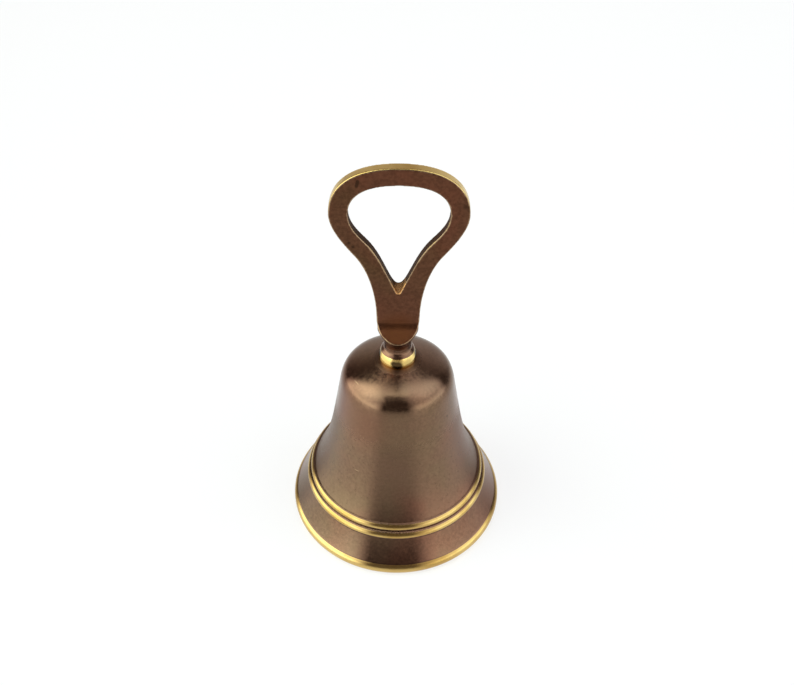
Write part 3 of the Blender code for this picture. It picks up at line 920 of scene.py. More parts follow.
@dataclass
class NeckBead:
    """The bored bead between the crown and the handle: a bright half-round under a brown neck."""

    foot: Point = (5.95 * MM, 68.12 * MM)
    girth: Point = (6.15 * MM, 69.25 * MM)
    brow: Point = (5.45 * MM, 72.15 * MM)
    seam: Point = (4.8 * MM, 72.95 * MM)
    waist: Point = (4.35 * MM, 74.4 * MM)
    top_z: float = 75.1 * MM
    hole_radius: float = 2.2 * MM
    brow_lean: float = math.radians(24.0)
    seam_lean: float = math.radians(52.0)
    neck_pull: tuple[float, float] = (0.8 * MM, 0.5 * MM)
    brow_pull: tuple[float, float] = (0.3 * MM, 0.3 * MM)
    girth_pull: tuple[float, float] = (1.0 * MM, 0.9 * MM)
    curl_flatness: float = 4.0
    points: int = 24
    steps: int = 120

    def profile(self) -> list[ProfilePoint]:
        """Draw the half section.

        Returns:
            Points from the top of the hole down the outer face.
        """
        spots = [Vector(spot) for spot in (self.waist, self.seam, self.brow, self.girth)]
        fall = [Vector((math.sin(lean), -math.cos(lean)))
                for lean in (0.0, self.seam_lean, self.brow_lean, 0.0)]
        neck, brow, swell = (
            interpolate_bezier(spots[i], spots[i] + fall[i] * pull[0],
                               spots[i + 1] - fall[i + 1] * pull[1], spots[i + 1], self.points)
            for i, pull in enumerate((self.neck_pull, self.brow_pull, self.girth_pull)))
        rise = (self.girth[0] - self.foot[0]) / self.curl_flatness
        curl = arc(self.girth, self.foot, rise, self.points // 2)
        return [ProfilePoint(self.hole_radius, self.top_z, Surface.GROOVE),
                ProfilePoint(self.waist[0], self.top_z),
                *profile_of(neck + brow[1:-1]), *profile_of(swell + curl, Surface.POLISHED),
                ProfilePoint(self.hole_radius, self.foot[1], Surface.GROOVE)]

    def build(self, lathe: Lathe, finish: AntiqueBrass) -> None:
        """Turn the bead and set it in the place of its CAD node."""
        made = lathe.turn("bead_turned", self.profile(), self.steps, True, finish.material("bead_polish"))
        seat(made, "bell", "neck_bead")


@dataclass(frozen=True)
class Skin:
    """The vertices of a mesh with their normals, and its edges as pairs of vertex numbers."""

    places: np.ndarray
    normals: np.ndarray
    edges: np.ndarray

    @classmethod
    def of(cls, mesh: bpy.types.Mesh) -> Skin:
        """Read the skin of a mesh.

        Args:
            mesh: The mesh.

        Returns:
            Its skin.
        """
        places, normals = np.empty(len(mesh.vertices) * 3), np.empty(len(mesh.vertices) * 3)
        edges = np.empty(len(mesh.edges) * 2, dtype=np.int64)
        mesh.vertices.foreach_get("co", places)
        mesh.vertex_normals.foreach_get("vector", normals)
        mesh.edges.foreach_get("vertices", edges)
        return cls(places.reshape(-1, 3), normals.reshape(-1, 3), edges.reshape(-1, 2).T)

    def around(self, values: np.ndarray) -> np.ndarray:
        """Average a value over each vertex's neighbours.

        Args:
            values: One value for each vertex.

        Returns:
            The averages.
        """
        one, two = self.edges
        count = len(self.places)
        degree = np.bincount(one, minlength=count) + np.bincount(two, minlength=count)
        return (np.bincount(one, values[two], count) + np.bincount(two, values[one], count)) / degree

    def spread(self, values: np.ndarray, rounds: int) -> np.ndarray:
        """Let a value run out over the skin.

        Args:
            values: One value for each vertex.
            rounds: How often each vertex meets its neighbours halfway.

        Returns:
            The spread values.
        """
        for _ in range(rounds):
            values = 0.5 * values + 0.5 * self.around(values)
        return values

    def bend(self) -> np.ndarray:
        """Return how far each vertex stands out of the plane of its neighbours."""
        mean = np.stack([self.around(column) for column in self.places.T], axis=1)
        return np.einsum("ij,ij->i", self.places - mean, self.normals)


@dataclass
class LoopHandle:
    """The cast handle: a flat pear-shaped loop on a shank with a scooped boss and a pocket."""

    foot_z: float = 74.6 * MM
    thickness: float = 3.2 * MM
    loop_rise: float = 65.9 * MM
    loop_width: float = 40.5 * MM
    loop_bar: float = 5.6 * MM
    side_rise: float = 50.4 * MM
    arm_rise: float = 35.8 * MM
    arm_spread: float = 26.3 * MM
    arm_lean: float = math.radians(36.8)
    vee_rise: float = 23.7 * MM
    shank_rise: float = 10.7 * MM
    shank_width: float = 13.4 * MM
    tuck_depth: float = 3.5 * MM
    tuck_inset: float = 0.7 * MM
    boss_radius: float = 6.7 * MM
    boss_width: float = 12.9 * MM
    boss_stretch: float = 0.27
    boss_pinch: float = 0.07
    boss_steps: int = 96
    waist_radius: float = 4.3 * MM
    flare_foot: float = 0.8 * MM
    flare_rise: float = 7.0 * MM
    boss_top: float = 13.0 * MM
    scoop_rise: float = 11.2 * MM
    scoop_length: float = 4.0 * MM
    scoop_turn: float = math.radians(56.0)
    scoop_sink: float = 0.06 * MM
    pocket_drop: float = 2.9 * MM
    pocket_tip: float = 0.2 * MM
    pocket_width: float = 4.5 * MM
    pocket_top: float = 2.4 * MM
    pocket_lip: float = 0.05 * MM
    pocket_wall: float = 0.7 * MM
    hole_radius: float = 2.2 * MM
    hole_depth: float = 4.8 * MM
    fullness: dict[str, tuple[float, float]] = field(default_factory=lambda: {
        "top": (0.56, 0.35), "outer": (0.30, 0.34), "inner": (0.40, 0.29),
        "shank": (0.25, 0.42), "vee": (0.42, 0.136), "straight": (1 / 3, 1 / 3)})
    curve_points: int = 40
    voxel: float = 0.24 * MM
    softening: int = 5
    edge_bend: float = 0.030 * MM
    edge_rounds: int = 3
    edge_polish: float = 0.46
    wear: float = 0.28
    wear_rounds: int = 40
    top_polish: float = 0.8
    top_from: float = 118 * MM
    top_over: float = 18 * MM
    top_upward: float = 4.0
    top_edge: tuple[float, float] = (1.6, 2.0)
    hollow_grime: float = 0.7
    # grime with painted shade on the wall of the loop's hole
    hole_grime_and_shade: float = 0.8
    hole_facing: float = 0.5
    pocket_facing: float = -0.85

    def nodes(self, inset: float) -> list[Place]:
        """Find the nodes of the right half of the loop.

        Args:
            inset: How far they are moved inwards.

        Returns:
            Place and heading of the top, side and arm nodes.
        """
        return [(0.0, self.loop_rise - inset, 0.0),
                (self.loop_width / 2 - inset, self.side_rise, -math.pi / 2),
                (self.arm_spread / 2 - inset * math.cos(self.arm_lean),
                 self.arm_rise + inset * math.sin(self.arm_lean), -math.pi / 2 - self.arm_lean)]

    def half_outline(self, nodes: Sequence[Place], stretches: Sequence[str]) -> list[Vector]:
        """Draw the right half of an outline through nodes of place and heading.

        Args:
            nodes: Nodes from top to bottom.
            stretches: Names of the fullness that follows each node.

        Returns:
            Points from top to bottom.
        """
        points: list[Vector] = [Vector(nodes[0][:2])]
        for start, end, stretch in zip(nodes, nodes[1:], stretches):
            leave, arrive = self.fullness[stretch]
            chord = math.dist(start[:2], end[:2])
            first, last = Vector(start[:2]), Vector(end[:2])
            out = Vector((math.cos(start[2]), math.sin(start[2]))) * chord * leave
            back = Vector((math.cos(end[2]), math.sin(end[2]))) * chord * arrive
            curve = interpolate_bezier(first, first + out, last - back, last, self.curve_points)
            points += [spot.copy() for spot in curve[1:]]
        return points

    def plate(self) -> bpy.types.Object:
        """Cut the flat plate with its hole.

        Returns:
            The plate in its place.
        """
        half, rise = self.shank_width / 2, self.shank_rise
        lean = math.atan2(-self.tuck_depth, -self.tuck_inset)
        shank = [(half, rise, -math.pi / 2), (half - self.tuck_inset, rise - self.tuck_depth, lean)]
        outer = self.half_outline(self.nodes(0.0) + shank, ("top", "outer", "shank", "straight"))
        hole = self.half_outline(self.nodes(self.loop_bar) + [(0.0, self.vee_rise, math.pi)],
                                 ("top", "inner", "vee"))
        outlines = [right + [Vector((-spot.x, spot.y)) for spot in reversed(right) if spot.x > MERGE_DISTANCE]
                    for right in (outer, hole)]
        return self.solid("handle_cast", outlines, self.thickness / 2, (math.pi / 2, 0.0, 0.0))

    def solid(self, name: str, outlines: Iterable[Sequence[Vector]], half_depth: float,
              turn: Place) -> bpy.types.Object:
        """Extrude outlines into a closed mesh over the foot of the handle.

        Args:
            name: Name of the object.
            outlines: Closed outlines, straight from point to point.
            half_depth: How far they are extruded to either side.
            turn: Euler angles that the solid is turned by.

        Returns:
            A mesh object at the origin.
        """
        curve = bpy.data.curves.new(name, "CURVE")
        curve.dimensions = "2D"
        curve.fill_mode = "BOTH"
        curve.extrude = half_depth
        for points in outlines:
            spline = curve.splines.new("POLY")
            spline.points.add(len(points) - 1)
            for point, spot in zip(spline.points, points):
                point.co = (spot[0], spot[1], 0.0, 1.0)
            spline.use_cyclic_u = True
        drawing = bpy.data.objects.new(name, curve)
        bpy.context.scene.collection.objects.link(drawing)
        bpy.context.view_layer.update()
        graph = bpy.context.evaluated_depsgraph_get()
        mesh = bpy.data.meshes.new_from_object(drawing.evaluated_get(graph))
        bpy.data.objects.remove(drawing)
        mesh.transform(Matrix.Translation((0.0, 0.0, self.foot_z)) @ Euler(turn).to_matrix().to_4x4())
        close_up(mesh, TURNED_SHARP)
        return bare_object(name, mesh)

    def scoop(self, side: Side) -> bpy.types.Object:
        """Make the cutter that scoops one face of the boss.

        Args:
            side: Which face it cuts.

        Returns:
            The cutter.
        """
        deep = self.thickness / 2 - self.scoop_sink
        top = self.boss_top + self.scoop_length
        far = deep + 2 * self.boss_radius
        spots = [(deep, top), (deep, self.scoop_rise)]
        step = self.scoop_length / self.curve_points
        for i in range(1, self.curve_points + 1):
            angle = self.scoop_turn * (1 - math.cos(math.pi * i / self.curve_points)) / 2
            spots.append((spots[-1][0] + step * math.sin(angle), spots[-1][1] - step * math.cos(angle)))
        slope = math.tan(math.pi / 2 - self.scoop_turn)
        spots += [(far, spots[-1][1] - (far - spots[-1][0]) * slope), (far, top)]
        outline = [Vector((side.value * x, y)) for x, y in spots]
        return self.solid(f"scoop_{side.name.lower()}", [outline], 2 * self.boss_radius,
                          (math.pi / 2, 0.0, math.pi / 2))

    def boss(self, lathe: Lathe, material: bpy.types.Material) -> bpy.types.Object:
        """Turn the boss, bored from below, and scoop both of its faces.

        Args:
            lathe: The lathe.
            material: Finish of the handle.

        Returns:
            The boss in its place.
        """
        spots = [(0.0, self.boss_top), (self.boss_radius, self.boss_top)]
        for i in range(self.curve_points + 1):
            share = 1 - i / self.curve_points
            swell = (1 - math.cos(math.pi * share)) / 2
            spots.append((self.waist_radius + (self.boss_radius - self.waist_radius) * swell,
                          self.flare_foot + self.flare_rise * share))
        spots += [(self.waist_radius, 0.0), (self.hole_radius, 0.0),
                  (self.hole_radius, self.hole_depth), (0.0, self.hole_depth)]
        made = lathe.turn("boss", profile_of(spots, lift=self.foot_z), self.boss_steps, False, material)
        for vertex in made.data.vertices:
            vertex.co = self.drawn_out(vertex.co)
        for side in Side:
            combine(made, self.scoop(side), "DIFFERENCE")
        combine(made, self.trimmer(), "INTERSECT")
        return made

    def drawn_out(self, spot: Vector) -> Vector:
        """Stretch a point of the boss to front and back as it flares, to a blunt tip at each end.

        Args:
            spot: Point of the turned boss.

        Returns:
            Where it goes.
        """
        rise = (spot.z - self.foot_z - self.flare_foot) / self.flare_rise
        swell = (1 - math.cos(math.pi * min(max(rise, 0.0), 1.0))) / 2
        pinch = 1 - self.boss_pinch * swell * math.sin(2 * math.atan2(spot.x, spot.y)) ** 2
        return Vector((spot.x * pinch, spot.y * pinch * (1 + self.boss_stretch * swell), spot.z))

    def trimmer(self) -> bpy.types.Object:
        """Make the block that trims the boss to the width of the shank.

        Returns:
            The block.
        """
        work = bmesh.new()
        bmesh.ops.create_cube(work, size=1.0)
        scale = Matrix.Diagonal((self.boss_width, 4 * self.boss_radius, 2 * self.boss_top, 1.0))
        place = Matrix.Translation((0.0, 0.0, self.foot_z)) @ scale
        bmesh.ops.transform(work, matrix=place, verts=work.verts)
        return worked_object("trimmer", work)

    def pocket(self) -> bpy.types.Object:
        """Make the cutter for the sloping pocket, which narrows to a point at the front.

        Returns:
            The cutter.
        """
        foot = self.foot_z + self.vee_rise
        half = self.pocket_width / 2
        front, back = -self.thickness / 2 - self.pocket_tip, self.thickness / 2 - self.pocket_wall
        share = (self.pocket_drop + self.pocket_lip) / (self.pocket_drop + self.pocket_top)
        spots = [(side * half, depth, foot + self.pocket_top) for side in (-1, 1) for depth in (front, back)]
        spots += [(side * self.pocket_tip / 2, front, foot - self.pocket_drop) for side in (-1, 1)]
        spots += [(side * half * share, back, foot + self.pocket_lip) for side in (-1, 1)]
        work = bmesh.new()
        for spot in spots:
            work.verts.new(spot)
        bmesh.ops.convex_hull(work, input=work.verts)
        return worked_object("pocket", work)

    def mark_wear(self, mesh: bpy.types.Mesh) -> None:
        """Write polish on outward edges and grime into inward ones, by how the skin bends, and grime with
        painted shade on the wall of the loop's hole.

        Args:
            mesh: The handle's mesh.
        """
        skin = Skin.of(mesh)
        bend = skin.spread(skin.bend(), self.edge_rounds)
        edge = np.clip(bend / self.edge_bend, 0.0, 1.0)
        hollow = np.clip(-bend / self.edge_bend, 0.0, 1.0)
        worn = skin.spread(edge, self.wear_rounds)
        polish = edge * self.edge_polish + worn * self.wear + self.top_polish * self.top(skin)
        # the hole's wall gets grime and painted shade
        grime_and_shade = hollow * self.hollow_grime + self.hole_grime_and_shade * self.hole_wall(skin)
        zone = np.clip(np.stack([polish, grime_and_shade, self.pocket_floor(skin)], axis=1), 0.0, 1.0)
        layer = mesh.attributes.new(ZONE, "FLOAT_VECTOR", "POINT")
        layer.data.foreach_set("vector", zone.ravel())

    def top(self, skin: Skin) -> np.ndarray:
        """Find the rim of the loop that is rubbed most.

        Args:
            skin: The handle's skin.

        Returns:
            1 on the upper rim, less towards the sides and the flat faces.
        """
        high = np.clip((skin.places[:, 2] - self.top_from) / self.top_over, 0.0, 1.0)
        upward = np.clip(skin.normals[:, 2] * self.top_upward, 0.0, 1.0)
        reach, fall = self.top_edge
        return high * (upward * np.clip(reach - np.abs(skin.normals[:, 1]) * fall, 0.0, 1.0))

    def hole_wall(self, skin: Skin) -> np.ndarray:
        """Find the wall of the loop's hole, which no cloth reaches and which takes painted shade.

        Args:
            skin: The handle's skin.

        Returns:
            1 on the wall and 0 elsewhere.
        """
        x, _, z = skin.places.T
        inwards = -skin.normals[:, 0] * x - skin.normals[:, 2] * (z - self.foot_z - self.arm_rise)
        low = z - self.foot_z - self.vee_rise
        return ((inwards > 0) & (low > 0) & (np.abs(skin.normals[:, 1]) < self.hole_facing)).astype(float)

    def pocket_floor(self, skin: Skin) -> np.ndarray:
        """Find the rough floor and walls of the pocket.

        Args:
            skin: The handle's skin.

        Returns:
            1 in the pocket and 0 elsewhere.
        """
        x, y, z = skin.places.T
        height = z - self.foot_z - self.vee_rise
        inside = (np.abs(x) < self.pocket_width / 2) & (height < self.pocket_top)
        inside &= (height > -self.pocket_drop - self.pocket_lip) & (skin.normals[:, 1] > self.pocket_facing)
        return (inside & (y < self.thickness / 2 - self.pocket_wall)).astype(float)

    def build(self, lathe: Lathe, finish: AntiqueBrass) -> None:
        """Cast the handle and set it in the place of its CAD node.

        Args:
            lathe: The lathe, for the boss.
            finish: Finish of the handle.
        """
        material = finish.material("handle_patina")
        made = self.plate()
        combine(made, self.boss(lathe, material), "UNION")
        combine(made, self.pocket(), "DIFFERENCE")
        soften(made, self.voxel, self.softening)
        self.mark_wear(made.data)
        coat(made, material)
        close_up(made.data, CAST_SHARP)
        seat(made, "bell", "handle")


@dataclass
class Thread:
    """A screw thread cut into a turned rod between two heights, shallower at its ends."""

    low: float
    high: float
    pitch: float = 0.7 * MM
    depth: float = 0.3 * MM
    rows_per_turn: int = 10
    run_in: float = 4.0

    def rows(self) -> list[float]:
        """Return the heights at which the rod needs points, from the top down."""
        count = max(2, round(self.rows_per_turn * (self.high - self.low) / self.pitch))
        return [self.high + (self.low - self.high) * i / count for i in range(count + 1)]

    def cut(self, mesh: bpy.types.Mesh) -> None:
        """Sink the thread's groove into the rod's outer face.

        Args:
            mesh: Mesh of the rod.
        """
        for vertex in mesh.vertices:
            spot = vertex.co
            inside = min(spot.z - self.low, self.high - spot.z)
            if inside < 0 or spot.xy.length < MERGE_DISTANCE:
                continue
            turn = (spot.z / self.pitch - math.atan2(spot.y, spot.x) / math.tau) % 1.0
            groove = self.depth * min(1.0, self.run_in * inside / self.pitch) * abs(2 * turn - 1)
            spot.xy *= 1 - groove / spot.xy.length


@dataclass
class EyeRod:
    """A threaded rod with an eye forged to it."""

    name: str
    spots: list[Point]
    thread: Thread
    steps: int
    eye_major: float
    eye_wire: float
    eye_z: float
    voxel: float
    softening: int = 2

    def build(self, lathe: Lathe, wire: Wire, material: bpy.types.Material) -> bpy.types.Object:
        """Turn the rod, thread it and forge the eye to it.

        Args:
            lathe: The lathe.
            wire: The wire tree.
            material: Finish of the piece.

        Returns:
            The piece, with its place in its mesh.
        """
        made = lathe.turn(self.name, profile_of(self.spots), self.steps, False, material)
        self.thread.cut(made.data)
        combine(made, wire.ring("eye", self.eye_major, self.eye_wire, self.eye_z, material), "UNION")
        soften(made, self.voxel, self.softening)
        coat(made, material)
        close_up(made.data, CAST_SHARP)
        return made


@dataclass
class HexNut:
    """A hexagon nut with turned chamfers on both faces."""

    flats: float
    thickness: float
    hole_radius: float
    foot_z: float
    sides: int = 6
    face_share: float = 0.95
    chamfer: float = math.radians(30.0)
    bevel: float = 0.1 * MM
    bevel_segments: int = 2
    steps: int = 96

    def build(self, name: str, lathe: Lathe, material: bpy.types.Material) -> bpy.types.Object:
        """Mill the hexagon and turn its chamfers and its hole.

        Args:
            name: Name of the piece.
            lathe: The lathe.
            material: Finish of the piece.

        Returns:
            The piece, with its place in its mesh.
        """
        corner = self.flats / 2 / math.cos(math.pi / self.sides)
        face = self.face_share * self.flats / 2
        drop = (corner - face) * math.tan(self.chamfer)
        half = self.thickness / 2
        work = bmesh.new()
        bmesh.ops.create_cone(work, cap_ends=True, segments=self.sides, radius1=corner, radius2=corner,
                              depth=self.thickness)
        bmesh.ops.translate(work, verts=work.verts, vec=(0.0, 0.0, self.foot_z + half))
        made = worked_object(name, work)
        beyond = corner + self.bevel
        spots = [(self.hole_radius, 2 * half), (face, 2 * half), (beyond, 2 * half - drop),
                 (beyond, drop), (face, 0.0), (self.hole_radius, 0.0)]
        form = lathe.turn("form", profile_of(spots, lift=self.foot_z), self.steps, True, material)
        combine(made, form, "INTERSECT")
        edges = made.modifiers.new("edges", "BEVEL")
        edges.width = self.bevel
        edges.segments = self.bevel_segments
        edges.limit_method = "ANGLE"
        bake(made)
        coat(made, material)
        close_up(made.data, MILLED_SHARP)
        return made


@dataclass
class Hanger:
    """What clamps the bell together and holds its clapper: eye bolt, washer and nut."""

    stud_radius: float = 1.9 * MM
    stud_top: float = 79.1 * MM
    stud_chamfer: float = 0.4 * MM
    stud_steps: int = 64
    stud_voxel: float = 0.12 * MM
    eye_z: float = 54.6 * MM
    eye_major: float = 3.2 * MM
    eye_wire: float = 1.1 * MM
    neck_z: float = 59.7 * MM
    washer_radius: float = 5.8 * MM
    washer_z: float = 63.8 * MM
    washer_thickness: float = 1.0 * MM
    washer_edge: float = 0.2 * MM
    edge_flatness: float = 3.0
    washer_steps: int = 96
    edge_points: int = 4
    hole_radius: float = 2.2 * MM
    nut: HexNut = field(default_factory=lambda: HexNut(7.0 * MM, 3.0 * MM, 2.2 * MM, 60.5 * MM))

    def bolt(self, lathe: Lathe, wire: Wire) -> None:
        """Make the eye bolt.

        Args:
            lathe: The lathe.
            wire: The wire tree.
        """
        thread = Thread(self.neck_z, self.stud_top - self.stud_chamfer)
        eye_top = self.eye_z + self.eye_major
        spots = [(0.0, self.stud_top), (self.stud_radius - self.stud_chamfer, self.stud_top)]
        spots += [(self.stud_radius, height) for height in thread.rows()]
        spots += [(self.eye_wire, eye_top), (0.0, eye_top)]
        rod = EyeRod("bolt_forged", spots, thread, self.stud_steps, self.eye_major, self.eye_wire,
                     self.eye_z, self.stud_voxel)
        seat(rod.build(lathe, wire, DULL_BRASS.material("bolt_brass")), "bell", "eye_bolt")

    def washer(self, lathe: Lathe) -> None:
        """Turn the washer, with rounded edges.

        Args:
            lathe: The lathe.
        """
        low, high = self.washer_z, self.washer_z + self.washer_thickness
        edge, rim, bore = self.washer_edge, self.washer_radius, self.hole_radius
        spots = [(bore, low + edge), (bore, high - edge), (bore + edge, high), (rim - edge, high)]
        rise = edge / self.edge_flatness
        spots += arc((rim - edge, high), (rim, high - edge), rise, self.edge_points)
        spots += arc((rim, low + edge), (rim - edge, low), rise, self.edge_points)
        spots.append((bore + edge, low))
        made = lathe.turn("washer_turned", profile_of(spots), self.washer_steps, True,
                          STEEL.material("washer_steel"))
        seat(made, "bell", "crown_washer")

    def build(self, lathe: Lathe, wire: Wire) -> None:
        """Make the pieces under the crown.

        Args:
            lathe: The lathe.
            wire: The wire tree.
        """
        self.bolt(lathe, wire)
        self.washer(lathe)
        made = self.nut.build("nut_milled", lathe, MILLED_BRASS.material("nut_brass"))
        seat(made, "bell", "jam_nut")


@dataclass
class Clapper:
    """What swings: the wire link, the rod with its eye, the ball and the nut under it."""

    link_z: float = 51.4 * MM
    link_straight: float = 3.0 * MM
    link_bend: float = 2.2 * MM
    link_wire: float = 0.8 * MM
    link_points: int = 36
    eye_z: float = 46.2 * MM
    eye_major: float = 2.1 * MM
    rod_radius: float = 1.0 * MM
    rod_end: float = 3.63 * MM
    rod_steps: int = 48
    rod_voxel: float = 0.11 * MM
    rod_pitch: float = 0.4 * MM
    rod_groove: float = 0.15 * MM
    collar_radius: float = 2.1 * MM
    collar_length: float = 1.4 * MM
    collar_hollow: float = 0.2 * MM
    collar_points: int = 10
    ball_z: float = 13.8 * MM
    ball_radius: float = 7.5 * MM
    ball_flat: float = 2.5 * MM
    ball_edge: float = 0.2 * MM
    ball_points: int = 64
    ball_steps: int = 128
    hole_radius: float = 1.3 * MM
    gap: float = 0.3 * MM
    nut: HexNut = field(default_factory=lambda: HexNut(4.5 * MM, 2.2 * MM, 1.3 * MM, 4.23 * MM))

    @property
    def half_ball(self) -> float:
        """Half the ball's length between its flats."""
        return math.sqrt(self.ball_radius ** 2 - self.ball_flat ** 2)

    def link(self, wire: Wire) -> None:
        """Bend the oval link.

        Args:
            wire: The wire tree.
        """
        path = []
        for height, start in ((self.link_z, 0.0), (self.link_z - self.link_straight, math.pi)):
            for i in range(self.link_points + 1):
                turn = start + math.pi * i / self.link_points
                path.append(Vector((0.0, self.link_bend * math.cos(turn),
                                    height + self.link_bend * math.sin(turn))))
        made = wire.draw("link_bent", path, self.link_wire, STEEL.material("link_steel"))
        seat(made, "link", "clapper_link")

    def rod(self, lathe: Lathe, wire: Wire) -> None:
        """Make the rod with its collar above the ball.

        Args:
            lathe: The lathe.
            wire: The wire tree.
        """
        stop = self.ball_z + self.half_ball + self.gap
        thread = Thread(self.rod_end, self.ball_z - self.half_ball, self.rod_pitch, self.rod_groove)
        rod, collar = self.rod_radius, self.collar_radius
        cone = stop + self.collar_length + collar - rod
        spots = [(0.0, self.eye_z - self.eye_major), (rod, self.eye_z - self.eye_major), (rod, cone)]
        spots += arc((rod, cone), (collar, stop + self.collar_length), -self.collar_hollow,
                     self.collar_points)
        spots += [(collar, stop), (rod, stop)]
        spots += [(rod, height) for height in thread.rows()] + [(0.0, self.rod_end)]
        made = EyeRod("rod_turned", spots, thread, self.rod_steps, self.eye_major, rod, self.eye_z,
                      self.rod_voxel).build(lathe, wire, DULL_BRASS.material("rod_brass"))
        seat(made, "clapper", "clapper_rod")

    def ball(self, lathe: Lathe) -> None:
        """Turn the ball, drilled through, with a flat at either end.

        Args:
            lathe: The lathe.
        """
        reach = math.acos(self.ball_flat / self.ball_radius)
        edge, bore = self.ball_edge, self.hole_radius
        spots = [(bore, self.half_ball - edge), (bore + edge, self.half_ball)]
        for i in range(self.ball_points + 1):
            turn = reach * (1 - 2 * i / self.ball_points)
            spots.append((self.ball_radius * math.cos(turn), self.ball_radius * math.sin(turn)))
        spots += [(bore + edge, -self.half_ball), (bore, edge - self.half_ball)]
        made = lathe.turn("ball_turned", profile_of(spots, lift=self.ball_z), self.ball_steps, True,
                          TURNED_BRASS.material("ball_brass"))
        seat(made, "clapper", "clapper_ball")

    def build(self, lathe: Lathe, wire: Wire) -> None:
        """Make the pieces that swing.

        Args:
            lathe: The lathe.
            wire: The wire tree.
        """
        self.link(wire)
        self.rod(lathe, wire)
        self.ball(lathe)
        made = self.nut.build("clapper_nut_milled", lathe, MILLED_BRASS.material("clapper_nut_brass"))
        seat(made, "clapper", "clapper_nut")


@dataclass(frozen=True)
class Panel:
    """A soft panel at one side of the bell, brightest at its foot, with a lamp in its upper half.

    Angles are in degrees: outwards from the front, or up from the horizon. Each lean says by how
    much an edge moves outwards between two heights.
    """

    side: float
    start: Ramp
    end: Ramp
    start_lean: Ramp
    end_lean: Ramp
    level: Ramp
    lamp: float
    lamp_rise: Ramp
    lamp_fall: Ramp
    lamp_reach: Ramp

    def light(self, graph: Graph, azimuth: Socket, height: Socket) -> Socket:
        """Find how bright the panel is in a direction.

        Args:
            graph: Graph of the world.
            azimuth: Degrees from the front, to the right.
            height: Degrees over the horizon.

        Returns:
            The panel's level there, 0 beside it.
        """
        across = graph.maths("MULTIPLY", azimuth, self.side)
        inner = graph.maths("SUBTRACT", across, graph.ramp(height, *self.start_lean))
        outer = graph.maths("SUBTRACT", across, graph.ramp(height, *self.end_lean))
        there = graph.maths("MULTIPLY", graph.ramp(inner, *self.start),
                            graph.ramp(outer, *self.end, 1.0, 0.0))
        lamp = graph.chain("MULTIPLY", graph.ramp(height, *self.lamp_rise),
                           graph.ramp(height, *self.lamp_fall), graph.ramp(across, *self.lamp_reach))
        level = graph.maths("MULTIPLY_ADD", lamp, self.lamp, graph.ramp(height, *self.level))
        return graph.maths("MULTIPLY", there, level)


PANELS = (
    Panel(side=-1.0, start=(22.0, 46.0), end=(102.0, 121.0), start_lean=(50.0, 75.0, 0.0, 12.0),
          end_lean=(15.0, 48.0, 0.0, 0.0), level=(4.0, 34.0, 2.9, 1.45), lamp=2.1, lamp_rise=(8.0, 50.0),
          lamp_fall=(60.0, 80.0, 1.0, 0.0), lamp_reach=(40.0, 80.0)),
    Panel(side=1.0, start=(14.0, 44.0), end=(90.0, 112.0), start_lean=(50.0, 75.0, 0.0, 0.0),
          end_lean=(15.0, 48.0, 0.0, 19.0), level=(4.0, 34.0, 2.0, 0.85), lamp=1.2, lamp_rise=(12.0, 58.0),
          lamp_fall=(60.0, 80.0, 1.0, 1.0), lamp_reach=(35.0, 85.0)))


